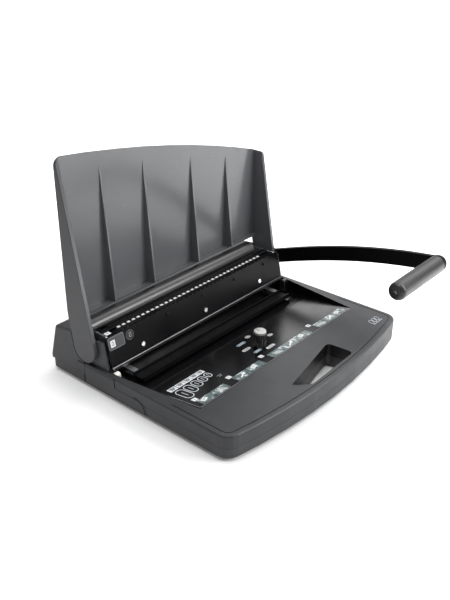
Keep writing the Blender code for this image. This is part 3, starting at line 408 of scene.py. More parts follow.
def tray_mask(tree):
    """1 inside the tray's outline in plan, 0 outside it."""
    place = parts_of(tree, object_place(tree))
    across = maths(tree, "ABSOLUTE", maths(tree, "SUBTRACT", place["X"], middle.x))
    front = middle.y + TRAY_FRONT * MM
    rear = middle.y + TRAY_REAR * MM
    widening = (TRAY_REAR_HALF - TRAY_FRONT_HALF) / (TRAY_REAR - TRAY_FRONT)
    reach = maths(tree, "MULTIPLY_ADD", maths(tree, "SUBTRACT", place["Y"], front),
                  widening, TRAY_FRONT_HALF * MM)
    inside = maths(tree, "LESS_THAN", across, reach)
    inside = maths(tree, "MULTIPLY", inside, maths(tree, "GREATER_THAN", place["Y"], front))
    return maths(tree, "MULTIPLY", inside, maths(tree, "LESS_THAN", place["Y"], rear))


def well_shade_mask(tree):
    """1 on the steep walls of the carrying handle's opening, where shade is painted, 0 everywhere
    else.
    """
    place = parts_of(tree, object_place(tree))
    inside = maths(tree, "LESS_THAN", parts_of(tree, surface_facing(tree))["Z"], WELL_STEEP)
    for axis, origin, low, high in (("X", middle.x, *WELL_X), ("Y", middle.y, *WELL_Y)):
        above = maths(tree, "GREATER_THAN", place[axis], origin + low * MM)
        below = maths(tree, "LESS_THAN", place[axis], origin + high * MM)
        inside = maths(tree, "MULTIPLY", inside, maths(tree, "MULTIPLY", above, below))
    return inside


tray = tray_mask(deck_tree)
well_shade = well_shade_mask(deck_tree)
# Black on the tray, and painted shade on the steep walls of the handle's opening.
relink(deck_tree, deck_shader.inputs["Base Color"],
       lambda now: blend_colour(deck_tree, maths(deck_tree, "MAXIMUM", tray, well_shade), now,
                                TRAY_AND_SHADE_BLACK))
relink(deck_tree, deck_shader.inputs["Roughness"],
       lambda now: maths(deck_tree, "MULTIPLY_ADD", tray, TRAY_POLISH, now))
deck_bump = next(n for n in deck_tree.nodes if n.type == "BUMP")
relink(deck_tree, deck_bump.inputs["Height"],
       lambda now: maths(deck_tree, "MULTIPLY", now, maths(deck_tree, "SUBTRACT", 1.0, tray)))
print("finish:", deck_finish.name)

# %% [markdown]
# ## The cover's gloss
# The big cover is a paler charcoal plastic from a polished tool, so it mirrors the table and its
# own ribs softly. Its gloss is not perfect: smudges dull it a little, hairlines scatter it, and the
# wall is faintly wavy, which bends long reflections. Its outer left face is painted darker than its
# inside, as painted shade.
# The roll over the punch has the same build in near black.

# %% Cover gloss
COVER_GREY = (0.092, 0.094, 0.100)
COVER_GREY_DRIFT = (0.100, 0.102, 0.108)
# The darker grey of the cover's outer left face is painted shade.
OUTER_SHADE_GREY = (0.040, 0.041, 0.045)
OUTER_FACING = 0.7
OUTER_X = 150.0
GLOSS_WORN = (0.15, 0.15, 0.155)
WAVES_PER_METRE = 14.0
WAVE_DEPTH = 0.0006


def gloss_plastic(name, colour, drift, gloss):
    """A polished charcoal moulding, slightly wavy."""
    made, tree, shader = start_finish(name)
    layered_tone(tree, shader, use_group(tree, grain_group)["Drift"], (colour, drift),
                 (GLOSS_WORN, {"Amount": 0.5, "Width": 0.0007}), 0.05)
    handled_gloss(tree, shader, gloss, 0.05, 0.06, (0.08, 1.0, 1.0))
    waves = noise_on(tree, object_place(tree), WAVES_PER_METRE, 1.0)
    bump_into(tree, shader, waves, 0.10, WAVE_DEPTH)
    return made, tree, shader


def outer_shade_mask(tree):
    """1 on the cover's outer left face, where shade is painted, 0 elsewhere."""
    leftward = maths(tree, "LESS_THAN", parts_of(tree, surface_facing(tree))["X"], -OUTER_FACING)
    return maths(tree, "MULTIPLY", leftward,
                 maths(tree, "LESS_THAN", parts_of(tree, object_place(tree))["X"],
                       middle.x - OUTER_X * MM))


cover_finish, cover_tree, cover_shader = gloss_plastic(
    "cover_gloss", COVER_GREY, COVER_GREY_DRIFT, 0.20)
# The outer left face gets a darker grey: painted shade, not a different plastic.
relink(cover_tree, cover_shader.inputs["Base Color"],
       lambda now: blend_colour(cover_tree, outer_shade_mask(cover_tree), now, OUTER_SHADE_GREY))
roll_finish, _, roll_shader = gloss_plastic(
    "roll_gloss", (0.005, 0.005, 0.0055), (0.007, 0.007, 0.0075), 0.30)
roll_shader.inputs["Specular IOR Level"].default_value = 0.75
print("finishes:", cover_finish.name, roll_finish.name)

# %% [markdown]
# ## Black paint and blackened steel
# The front plate, the jaw and the bin are sheet steel under a smooth black paint. The die, the
# stripper and the lever are blackened steel: just as dark, slightly oily, with a greyer tone where
# an edge has rubbed. The knob is black plastic, and the pale tone on its flutes' edges is a painted
# highlight, laid on with the edge wear mask.

# %% Painted and blackened steel
RUBBED = (0.06, 0.06, 0.06)


def black_paint(name, colour, gloss, worn_and_highlight, wear_and_highlight_amount=0.35, shine=0.2):
    """A smooth black coat. worn_and_highlight is the colour at its edges: rubbed wear, and on the
    knob a painted highlight.
    """
    made, tree, shader = start_finish(name)
    shader.inputs["Specular IOR Level"].default_value = shine
    grain = use_group(tree, grain_group, {"Cells per metre": 2600.0})
    lighter = tuple(1.6 * value for value in colour)
    layered_tone(tree, shader, grain["Drift"], (colour, lighter),
                 (worn_and_highlight, {"Amount": wear_and_highlight_amount, "Width": 0.0006}), 0.02)
    handled_gloss(tree, shader, gloss, 0.08, 0.10, (0.05, 1.0, 1.0))
    bump_into(tree, shader, grain["Height"], 0.08, 0.0001)
    return made


plate_finish = black_paint("black_paint", (0.002, 0.002, 0.0025), 0.28, (0.02, 0.02, 0.02), 0.2,
                           0.1)
oiled_finish = black_paint("oiled_black_steel", (0.002, 0.002, 0.0025), 0.26, RUBBED, 0.25, 0.1)
# The same black also makes the painted shade lines on the left side.
arm_and_shade_black = black_paint("black_arm_and_shade_lines", (0.002, 0.002, 0.002), 0.42, (0.03, 0.03, 0.03), 0.25, 0.1)
# The knob's pale flute edges are a painted highlight, not wear.
knob_highlight_finish = black_paint("knob_black_painted_highlight", (0.010, 0.010, 0.010), 0.18, (0.40, 0.40, 0.40), 0.9, 0.6)
print("black finishes: 4")

# %% [markdown]
# ## Bare metals
# Screws, springs and shaft are ground bright. The chassis is zinc plated, which is duller, bluish
# and cloudy. The anvil is dark rolled steel. The comb's pins are pale and only slightly metallic, a
# painted highlight for the bright steel tips that shine in the die's windows, and behind them the
# comb is coloured black. All four use the brushed lines, which change both the roughness and a
# very small bump.

# %% Bright, zinc and dark steel


def brushed_steel(name, colour, tarnish, gloss, stretch=(40.0, 3000.0, 3000.0), bump=0.12,
                  metallic=1.0):
    """A metal with fine lines. stretch is small along the lines and large across them."""
    made, tree, shader = start_finish(name)
    shader.inputs["Metallic"].default_value = metallic
    brush = use_group(tree, brush_group, {"Stretch": stretch})
    bright = tuple(min(1.0, 1.25 * value) for value in colour)
    layered_tone(tree, shader, brush["Tarnish"], (colour, tarnish),
                 (bright, {"Amount": 0.4, "Width": 0.0005}))
    feed(tree, shader.inputs["Roughness"],
         spread(tree, brush["Lines"], 0.3, 0.7, gloss - 0.06, gloss + 0.10))
    bump_into(tree, shader, brush["Lines"], bump, 0.00005)
    return made


bright_finish = brushed_steel("bright_ground_steel", (0.80, 0.80, 0.81), (0.60, 0.59, 0.57),
                              0.22)
zinc_finish = brushed_steel("zinc_plate", (0.52, 0.54, 0.57), (0.36, 0.37, 0.38), 0.38,
                            (400.0, 400.0, 400.0), 0.05)
anvil_finish = brushed_steel("dark_rolled_steel", (0.17, 0.17, 0.175), (0.10, 0.10, 0.10), 0.36)
# The pins' pale tone is a painted highlight, for the bright steel that shines in the die's windows.
pin_highlight_finish = brushed_steel("pale_pins_painted_highlight", (0.86, 0.86, 0.86), (0.74, 0.74, 0.73), 0.34,
                           (400.0, 400.0, 400.0), 0.04, 0.15)
SPINE_Y = 105.0  # behind this the comb is coloured black, and only the pins in front stay pale
pin_tree = pin_highlight_finish.node_tree
on_spine = maths(pin_tree, "GREATER_THAN", parts_of(pin_tree, object_place(pin_tree))["Y"],
                 middle.y + SPINE_Y * MM)
relink(pin_tree, pin_tree.nodes["Principled BSDF"].inputs["Base Color"],
       lambda now: blend_colour(pin_tree, on_spine, now, (0.004, 0.004, 0.004)))
print("metal finishes: 4")

# %% [markdown]
# ## Grip, rubber, nylon and the dial's cap
# The grip is soft black plastic with a satin shine. Feet are matt rubber. Nylon lets light in a
# little below its surface, so it gets subsurface weight instead of a harder white. The dial's cap
# is silver paint turned on a lathe, whose lines run in rings.

# %% Soft and small finishes
grip_finish, _, _ = charcoal_plastic(
    "grip_soft_plastic", 0.34, 0.12, (0.010, 0.010, 0.011), (0.014, 0.014, 0.015))
rubber_finish, _, _ = charcoal_plastic(
    "foot_rubber", 0.72, 0.45, (0.012, 0.012, 0.012), (0.020, 0.020, 0.019))


def nylon_plastic(name):
    """Natural white nylon, with faint yellowing and a waxy shine."""
    made, tree, shader = start_finish(name)
    grain = use_group(tree, grain_group, {"Cells per metre": 1900.0})
    layered_tone(tree, shader, grain["Drift"], ((0.74, 0.74, 0.71), (0.68, 0.67, 0.62)),
                 ((0.55, 0.54, 0.50), {"Amount": 0.35}))
    feed(tree, shader.inputs["Roughness"], spread(tree, grain["Drift"], 0.0, 1.0, 0.22, 0.32))
    shader.inputs["Subsurface Weight"].default_value = 0.15
    shader.inputs["Subsurface Scale"].default_value = 0.002
    bump_into(tree, shader, grain["Height"], 0.06, 0.0001)
    return made


nylon_finish = nylon_plastic("natural_nylon")
print("soft finishes: grip, rubber, nylon")

# %% Dial cap: rings turned on a lathe
cap_finish, cap_tree, cap_shader = start_finish("turned_silver")
cap_low, cap_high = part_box("dial_cap")
cap_centre = (cap_low + cap_high) / 2
cap_mapping = add_node(cap_tree, "ShaderNodeMapping", values={
    "Vector": object_place(cap_tree), "Location": -cap_centre})
cap_rings = add_node(cap_tree, "ShaderNodeTexWave", {
    "wave_type": "RINGS", "rings_direction": "Z",
}, {"Vector": cap_mapping.outputs["Vector"], "Scale": 420.0, "Distortion": 0.6}).outputs["Fac"]
# The near white at the cap's edges is partly wear and partly a painted highlight of its light rim.
layered_tone(cap_tree, cap_shader, cap_rings, ((0.50, 0.50, 0.48), (0.60, 0.60, 0.58)),
             ((0.95, 0.95, 0.94), {"Amount": 0.5, "Width": 0.0006}))
feed(cap_tree, cap_shader.inputs["Roughness"], spread(cap_tree, cap_rings, 0.0, 1.0, 0.26, 0.40))
cap_shader.inputs["Metallic"].default_value = 0.6
bump_into(cap_tree, cap_shader, cap_rings, 0.15, 0.00008)
print("finish:", cap_finish.name)

# %% [markdown]
# ## Dressing the CAD parts
# One table says which finish each CAD part wears. Loose-triangle meshes keep their own shading, so
# only the material slots change.

# %% Which part wears what
WEARS = {
    body_finish: "base_pan rear_housing end_bracket_left end_bracket_right drawer_front "
                 "lever_hub_cap",
    deck_finish: "top_deck",
    cover_finish: "cover",
    roll_finish: "punch_cover",
    plate_finish: "front_plate closer_jaw chip_bin",
    # The right jaw guide wears the knob's black instead of nylon: painted shade, where it stands
    # hidden in shade.
    knob_highlight_finish: "dial_knob jaw_guide_right",
    oiled_finish: "die_bar stripper_bar punch_carrier wire_hook_1 wire_hook_2 wire_hook_3 "
                  "wire_hook_4",
    arm_and_shade_black: "lever_arm",
    anvil_finish: "closer_anvil",
    pin_highlight_finish: "punch_comb",
    bright_finish: "plate_screw_1 plate_screw_2 plate_screw_3 dial_spindle "
                   "drive_shaft grip_screw return_spring_left return_spring_right",
    zinc_finish: "chassis_plate side_plate_left side_plate_right spring_rail jaw_link_left "
                 "jaw_link_right eccentric_left eccentric_right",
    cap_finish: "dial_cap",
    grip_finish: "lever_grip grip_end_cap",
    nylon_finish: "shaft_bush_left shaft_bush_right jaw_guide_left dial_cam "
                  "lever_spacer",
    rubber_finish: "foot_front_left foot_front_right foot_rear_left foot_rear_right",
}
dressed = set()
for finish, names in WEARS.items():
    for name in names.split():
        nodes[name].data.materials.clear()
        nodes[name].data.materials.append(finish)
        dressed.add(name)
print("dressed:", len(dressed), "left bare:", sorted(set(nodes) - dressed))

# %% [markdown]
# ## Making thin printed things
# Labels, tiles and printed lines are thin closed sheets. Each starts as a plane of its real size,
# gets its corners rounded by bevelling its vertices, and is extruded to its thickness. An outline
# is the same sheet with its middle inset and deleted. Everything is made flat at the origin, then
# turned and moved into place, and the move is applied so the object itself stays at the origin.

# %% Sheet and outline helpers
made_pieces = []


def deselect():
    """Leaves nothing selected, in object mode."""
    if bpy.context.mode != "OBJECT":
        bpy.ops.object.mode_set(mode="OBJECT")
    bpy.ops.object.select_all(action="DESELECT")


def only(obj):
    """Selects one object and makes it active."""
    deselect()
    obj.select_set(True)
    bpy.context.view_layer.objects.active = obj


def start_sheet(name, width, height, corner):
    """A flat rounded rectangle at the origin, left in edit mode with all of it selected. In mm."""
    deselect()
    bpy.ops.mesh.primitive_plane_add(size=MM)
    sheet = bpy.context.object
    sheet.name = name
    sheet.data.name = name
    bpy.ops.object.mode_set(mode="EDIT")
    bpy.ops.mesh.select_all(action="SELECT")
    bpy.ops.transform.resize(value=(width, height, 1.0))
    if corner:
        bpy.ops.mesh.bevel(affect="VERTICES", offset_type="OFFSET", offset=corner * MM, segments=5)
        bpy.ops.mesh.select_all(action="SELECT")
    return sheet


def thicken(sheet, thickness):
    """Extrudes the selected flat face upwards and leaves edit mode."""
    bpy.ops.mesh.extrude_region_move(TRANSFORM_OT_translate={"value": (0, 0, thickness * MM)})
    bpy.ops.mesh.select_all(action="SELECT")
    bpy.ops.mesh.normals_make_consistent(inside=False)
    bpy.ops.object.mode_set(mode="OBJECT")
    return sheet


def make_sheet(name, width, height, corner=0.0, thickness=0.2):
    """A thin closed sheet with rounded corners."""
    return thicken(start_sheet(name, width, height, corner), thickness)


def make_outline(name, width, height, corner, line, thickness=0.2):
    """The rim of such a sheet, line wide."""
    sheet = start_sheet(name, width, height, corner)
    bpy.ops.mesh.inset(thickness=line * MM, use_boundary=True)
    bpy.ops.mesh.delete(type="FACE")
    bpy.ops.mesh.select_all(action="SELECT")
    return thicken(sheet, thickness)


def shift(obj, x, y, z=0.0, turn=0.0):
    """Turns a flat piece about its middle and moves it, in mm, and applies both."""
    only(obj)
    obj.rotation_euler = (0.0, 0.0, turn)
    obj.location = Vector((x, y, z)) * MM
    bpy.ops.object.transform_apply(location=True, rotation=True, scale=True)
    return obj


def joined(name, pieces):
    """Joins flat pieces into one object. Each keeps its own material."""
    deselect()
    for piece in pieces:
        piece.select_set(True)
    bpy.context.view_layer.objects.active = pieces[0]
    if len(pieces) > 1:
        bpy.ops.object.join()
    pieces[0].name = name
    pieces[0].data.name = name
    return pieces[0]


def make_number(text, height, thickness=0.08):
    """A plain digit, about height mm tall, centred on the origin."""
    deselect()
    bpy.ops.object.text_add()
    digit = bpy.context.object
    digit.data.body = text
    digit.data.size = height * 1.38 * MM
    digit.data.extrude = thickness * MM / 2
    digit.data.align_x = "CENTER"
    digit.data.align_y = "CENTER"
    bpy.ops.object.convert(target="MESH")
    return bpy.context.object


def wear(obj, finish):
    """Gives a piece one finish."""
    obj.data.materials.clear()
    obj.data.materials.append(finish)
    return obj


def seat(obj, place, turn, body):
    """Stands a finished flat piece on the machine and lets it ride on a body."""
    only(obj)
    obj.matrix_world = Matrix.Translation(place) @ turn.to_4x4()
    bpy.ops.object.transform_apply(location=True, rotation=True, scale=True)
    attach(obj, body)
    made_pieces.append(obj.name)
    return obj


print("sheet helpers ready")

# %% [markdown]
# ## Print finishes
# Printed white is never pure: the film has a faint orange-peel surface and the ink drifts in tone.
# The little picture tiles on the card are too small to read, so each wears a mottled blue-green
# print of soft shapes, with real sheets, rings and arrows laid on top as geometry.

# %% Print materials


def print_film(name, colour, drift, gloss=0.30):
    """A printed film: two close tones, an even satin and a faint orange peel."""
    made, tree, shader = start_finish(name)
    grain = use_group(tree, grain_group, {"Cells per metre": 900.0})
    layered_tone(tree, shader, grain["Drift"], (colour, drift),
                 ((0.30, 0.30, 0.30), {"Amount": 0.3, "Width": 0.0002}))
    feed(tree, shader.inputs["Roughness"],
         spread(tree, grain["Drift"], 0.0, 1.0, gloss, gloss + 0.08))
    bump_into(tree, shader, grain["Height"], 0.05, 0.0001)
    return made


white_print = print_film("white_print", (0.78, 0.79, 0.80), (0.70, 0.71, 0.72))
ink_print = print_film("black_ink", (0.012, 0.012, 0.014), (0.020, 0.020, 0.022))
line_print = print_film("pale_line", (0.30, 0.31, 0.32), (0.24, 0.25, 0.26))
ring_print = print_film("ring_line", (0.74, 0.79, 0.83), (0.60, 0.66, 0.70))
blue_print = print_film("blue_grey_print", (0.10, 0.15, 0.19), (0.08, 0.12, 0.15))
label_print = print_film("grey_label", (0.060, 0.062, 0.066), (0.050, 0.052, 0.055), 0.35)
card_print = print_film("black_card", (0.004, 0.004, 0.0045), (0.007, 0.007, 0.0075), 0.20)


def picture_film(name, cells, dark, middle_tone, light):
    """The mottled print of a picture tile: soft shapes in three tones."""
    made, tree, shader = start_finish(name)
    place = object_place(tree)
    shapes = add_node(tree, "ShaderNodeTexVoronoi", {"feature": "F1"}, {
        "Vector": place, "Scale": cells})
    soft = noise_on(tree, place, cells * 0.9, 3.0)
    level = maths(tree, "MULTIPLY_ADD", shapes.outputs["Distance"], 0.7, soft)
    tone = blend_colour(tree, spread(tree, level, 0.45, 0.75), dark, middle_tone)
    tone = blend_colour(tree, spread(tree, level, 0.98, 1.08), tone, light)
    feed(tree, shader.inputs["Base Color"], tone)
    feed(tree, shader.inputs["Roughness"], spread(tree, soft, 0.3, 0.7, 0.24, 0.34))
    bump_into(tree, shader, soft, 0.03, 0.0001)
    return made


tile_print = picture_film("picture_tile", 150.0, (0.030, 0.042, 0.042), (0.115, 0.150, 0.150),
                          (0.50, 0.54, 0.54))
print("print finishes: 8")


def sheet_at(finish, x, y, z, width, height, corner, thickness=0.2, turn=0.0):
    """A flat printed sheet, turned and moved into place on the flat."""
    return wear(shift(make_sheet("sheet", width, height, corner, thickness), x, y, z, turn), finish)


def outline_at(finish, x, y, z, width, height, corner, line, thickness=0.2, turn=0.0):
    """A flat printed outline, turned and moved into place on the flat."""
    rim = make_outline("outline", width, height, corner, line, thickness)
    return wear(shift(rim, x, y, z, turn), finish)


def digit_at(text, height, x, y, z):
    """A black digit, moved into place on the flat."""
    return wear(shift(make_number(text, height), x, y, z), ink_print)


print("printed things ready")

# %% [markdown]
# ## The card on the tray
# An L-shaped black card lies on the sloping front of the tray. Its front leg carries the numbered
# steps and its left leg the wire-size chart. It starts as the front leg, is bisected where the
# other leg begins, and the short rear edge is extruded to make that leg.
#
# The slope is found by dropping a ray onto the deck, so the card lies on whatever the CAD has.

# %% The slope under the card


def on_deck(x, y):
    """Where a ray dropped on the deck lands, and the surface's direction there."""
    _, place, normal, _ = nodes["top_deck"].ray_cast(at(x, y, 200.0), Vector((0, 0, -1)))
    return place, normal


CARD_MIDDLE_Y = -17.0
slope_place, slope_normal = on_deck(-40.0, CARD_MIDDLE_Y)
slope_turn = Vector((0, 0, 1)).rotation_difference(slope_normal).to_matrix()
slope_stretch = 1.0 / slope_normal.z
SKIN = 0.02
card_place = Vector((middle.x, slope_place.y, slope_place.z)) + slope_normal * SKIN * MM
print("slope:", round(math.degrees(slope_normal.angle(Vector((0, 0, 1)))), 2), "degrees")


def down(y):
    """A distance along the slope, in mm, from a machine y."""
    return (y - CARD_MIDDLE_Y) * slope_stretch


# %% The card itself
CARD_LEFT = -158.2
CARD_RIGHT = 152.0
CARD_FRONT = -53.4
CARD_STRIP_REAR = -30.5
CHART_RIGHT = -78.0
CHART_REAR = 15.0
CARD_CORNER = 3.0
CARD_THICKNESS = 0.25


def select_where(test, kind="verts"):
    """Selects the vertices, edges or faces whose middle passes the test."""
    bpy.ops.mesh.select_all(action="DESELECT")
    mesh = bmesh.from_edit_mesh(bpy.context.object.data)
    for item in getattr(mesh, kind):
        if kind == "verts":
            centre = item.co
        elif kind == "edges":
            centre = (item.verts[0].co + item.verts[1].co) / 2
        else:
            centre = item.calc_center_median()
        if test(centre / MM):
            item.select_set(True)
    mesh.select_flush_mode()
    bmesh.update_edit_mesh(bpy.context.object.data)


def make_card():
    """The L-shaped card, flat, in card coordinates."""
    wide = CARD_RIGHT - CARD_LEFT
    deep = down(CARD_STRIP_REAR) - down(CARD_FRONT)
    card = start_sheet("tray_card", wide, deep, 0.0)
    middle_x = (CARD_LEFT + CARD_RIGHT) / 2
    middle_v = (down(CARD_STRIP_REAR) + down(CARD_FRONT)) / 2
    bpy.ops.transform.translate(value=(middle_x * MM, middle_v * MM, 0))
    bpy.ops.mesh.bisect(plane_co=(CHART_RIGHT * MM, 0, 0), plane_no=(1, 0, 0))
    select_where(lambda c: c.y > down(CARD_STRIP_REAR) - 1 and c.x < CHART_RIGHT, "edges")
    reach = down(CHART_REAR) - down(CARD_STRIP_REAR)
    bpy.ops.mesh.extrude_region_move(TRANSFORM_OT_translate={"value": (0, reach * MM, 0)})
    select_where(lambda c: not (abs(c.x - CHART_RIGHT) < 1 and c.y < down(CHART_REAR) - 1))
    bpy.ops.mesh.bevel(affect="VERTICES", offset=CARD_CORNER * MM, segments=5)
    bpy.ops.mesh.select_all(action="SELECT")
    return wear(thicken(card, CARD_THICKNESS), card_print)


card = seat(make_card(), card_place, slope_turn, "base_unit")
print("piece:", card.name, len(card.data.vertices), "vertices")

# %% [markdown]
# ## The card's pale edge
# The cut edge of the card shows as a fine pale line along its front and left sides. A rounded
# outline makes it, and two bisects clear away the sides that don't show.

# %% Pale edge line
EDGE_LINE = 0.55
PRINT_THICKNESS = 0.08


def trim(obj, place, direction):
    """Cuts away what lies beyond a plane and closes the cut."""
    only(obj)
    bpy.ops.object.mode_set(mode="EDIT")
    bpy.ops.mesh.select_all(action="SELECT")
    bpy.ops.mesh.bisect(plane_co=Vector(place) * MM, plane_no=direction, clear_outer=True,
                        use_fill=True)
    bpy.ops.object.mode_set(mode="OBJECT")
    return obj


edge_deep = down(CHART_REAR) - down(CARD_FRONT)
edge = make_outline("tray_card_edge", CARD_RIGHT - CARD_LEFT, edge_deep + 20, CARD_CORNER,
                    EDGE_LINE, PRINT_THICKNESS)
shift(edge, (CARD_LEFT + CARD_RIGHT) / 2, down(CARD_FRONT) + (edge_deep + 20) / 2, CARD_THICKNESS)
trim(edge, (0, down(CHART_REAR) - CARD_CORNER, 0), (0, 1, 0))
trim(edge, (CARD_RIGHT - CARD_CORNER, 0, 0), (1, 0, 0))
seat(wear(edge, line_print), card_place, slope_turn, "base_unit")
print("piece:", edge.name)

# %% [markdown]
# ## Numbered steps
# Four steps run along the front leg. Each has a white square with a plain number, then two or
# three picture tiles. Each tile's picture is generic: a sheet of paper, a comb of rings, an arrow.

# %% Step tiles
STEPS = (
    ("1", -148.0, (-150.5, -126.5, -101.5)),
    ("2", -86.5, (-86.8, -60.0, -32.5)),
    ("3", -22.5, (-17.0, 11.5, 39.5, 68.5)),
    ("4", 82.0, (84.5, 107.0, 129.5, 151.0)),
)
TILE_FRONT = -51.6
TILE_REAR = -38.6
TILE_GAP = 1.0
SQUARE_SIZE = 6.6
SQUARE_Y = -34.6
SHEET_THICKNESS = 0.2
PICTURE_Z = CARD_THICKNESS + SHEET_THICKNESS
PICTURE_LEAN = 0.32
tile_height = down(TILE_REAR) - down(TILE_FRONT)
tile_v = (down(TILE_REAR) + down(TILE_FRONT)) / 2


def paper_picture(x, v):
    """A tilted sheet with two printed lines on it."""
    lines = [sheet_at(blue_print, x - 3.0 + 0.3 * i, v + 2.4 - 1.8 * i, PICTURE_Z + 0.2, 5.5, 0.5,
                      0.2, turn=PICTURE_LEAN) for i in range(2)]
    return [sheet_at(white_print, x - 3.0, v + 1.4, PICTURE_Z, 9.0, 6.2, 0.5, turn=PICTURE_LEAN),
            *lines]


def comb_picture(x, v):
    """A row of four wire rings seen from the side."""
    return [outline_at(white_print, x - 4.5 + 3.0 * i, v - 0.6 * i, PICTURE_Z, 2.6, 7.2, 1.3, 0.6,
                       turn=0.25) for i in range(4)]


def arrow_picture(x, v):
    """A pale bar that bends up into an arrow head."""
    return [sheet_at(white_print, x - 1.5, v - 1.5, PICTURE_Z, 9.0, 2.0, 0.8, turn=0.5),
            sheet_at(white_print, x + 4.2, v + 1.6, PICTURE_Z, 4.6, 4.6, 0.2,
                     turn=0.5 + math.pi / 4)]


PICTURES = (paper_picture, comb_picture, arrow_picture)
drawn = 0
for number, square_x, edges in STEPS:
    square = sheet_at(white_print, square_x, down(SQUARE_Y), CARD_THICKNESS, SQUARE_SIZE,
                      SQUARE_SIZE, 0.5)
    digit = digit_at(number, SQUARE_SIZE * 0.62, square_x, down(SQUARE_Y), CARD_THICKNESS + 0.22)
    seat(joined("step_badge_" + number, [square, digit]), card_place, slope_turn, "base_unit")
    marks = []
    for left, right in zip(edges, edges[1:]):
        tile_x = (left + right) / 2
        marks.append(sheet_at(tile_print, tile_x, tile_v, CARD_THICKNESS, right - left - TILE_GAP,
                              tile_height, 0.4))
        marks += PICTURES[drawn % len(PICTURES)](tile_x, tile_v)
        drawn += 1
    seat(joined("step_tiles_" + number, marks), card_place, slope_turn, "base_unit")
print("steps:", len(STEPS), "tiles:", drawn)

# %% [markdown]
# ## Wire-size chart
# The chart shows five wire sizes. A pale heading cell stands over each, and below it a closed ring
# of that size with the slot of its seam, each smaller than the one before.

# %% Chart
# Each size: middle x, heading width, ring width, ring length.
CHART_SIZES = (
    (-144.0, 12.4, 12.6, 27.0),
    (-130.6, 12.0, 11.4, 22.0),
    (-117.8, 11.6, 10.4, 18.0),
    (-105.8, 10.8, 9.4, 15.0),
    (-94.6, 10.0, 8.4, 12.5),
)
CHART_CELL_Y = 5.2
CHART_CELL_HEIGHT = 8.6
ROW_STEP = 2.2
ROW_HEIGHT = 1.3
RING_TOP = -1.6
RING_LINE = 0.9
SEAM_SHARE = 0.42  # how much of the ring's length its seam takes
NOTE_X = -88.0
NOTE_Y = -20.0
chart = []
for x, cell, ring_width, ring_length in CHART_SIZES:
    heading_v = down(CHART_CELL_Y)
    chart.append(sheet_at(white_print, x, heading_v, CARD_THICKNESS, cell, CHART_CELL_HEIGHT, 0.4))
    for row in range(3):
        ink = ink_print if row % 2 else blue_print
        chart.append(sheet_at(ink, x, heading_v + 2.3 - ROW_STEP * row, PICTURE_Z,
                              cell * (0.72 - 0.12 * row), ROW_HEIGHT, 0.2))
    ring_v = down(RING_TOP - ring_length / 2)
    chart.append(outline_at(ring_print, x, ring_v, CARD_THICKNESS, ring_width, ring_length,
                            ring_width / 2 - 0.02, RING_LINE))
    chart.append(sheet_at(ring_print, x, ring_v, CARD_THICKNESS, 0.7, ring_length * SEAM_SHARE,
                          0.2))
for row in range(2):
    chart.append(sheet_at(line_print, NOTE_X, down(NOTE_Y - 3.0 * row), CARD_THICKNESS,
                          7.5 - 2 * row, 0.8, 0.3))
seat(joined("wire_size_chart", chart), card_place, slope_turn, "base_unit")
print("piece: wire_size_chart")

# %% [markdown]
# ## Labels round the dial
# Six small pills mark the dial's settings, four white and two blue-grey. Each carries three short
# bars instead of words.

# %% Dial pills
PILLS = (
    (14.8, 17.4, 8.5, white_print),
    (34.4, -5.5, 8.5, white_print),
    (-7.0, 11.0, 17.0, blue_print),
    (-15.6, -5.2, 15.0, white_print),
    (-12.0, -20.9, 14.0, blue_print),
    (7.0, -27.3, 16.5, white_print),
)
PILL_HEIGHT = 5.6
PILL_INSET = 1.2
pills = []
for x, y, long, finish in PILLS:
    ink = ink_print if finish is white_print else ring_print
    pills.append(sheet_at(finish, x, down(y), 0.0, long, PILL_HEIGHT, PILL_HEIGHT / 2 - 0.1))
    pills.append(outline_at(ink, x, down(y), 0.1, long - PILL_INSET, PILL_HEIGHT - PILL_INSET,
                            (PILL_HEIGHT - PILL_INSET) / 2 - 0.1, 0.4))
    pills += [sheet_at(ink, x + long * 0.2 * (i - 1), down(y), 0.12, long * 0.13, 1.9, 0.2)
              for i in range(3)]
seat(joined("dial_labels", pills), card_place, slope_turn, "base_unit")
print("piece: dial_labels,", len(PILLS), "pills")

# %% [markdown]
# ## Labels on the front plate and the die
# The steps continue on the machine itself: a white label with a black "1" on the die, where the
# paper goes in, and a grey label on the front plate whose white square carries a black "2", beside
# a ring mark. The plate leans, so its front face is found as the plane that lies farthest along
# the plate's own facing direction.

# %% The plate's front face
PLATE_LEAN = math.atan2(8.9, 36.6)
plate_facing = Vector((0.0, -math.cos(PLATE_LEAN), math.sin(PLATE_LEAN)))
plate_turn = Matrix.Rotation(math.pi / 2 - PLATE_LEAN, 3, "X")
plate_offset = max(v.co.dot(plate_facing) for v in nodes["front_plate"].data.vertices)


def on_plate(x, z):
    """The point of the plate's front face at that machine x and height, just off the paint."""
    flat = at(x, 0.0, z)
    gap = plate_offset + SKIN * MM - flat.dot(plate_facing)
    return flat + Vector((0.0, gap / plate_facing.y, 0.0))


print("plate's front face at z 60:", [round(v / MM, 1) for v in on_plate(0, 60)])

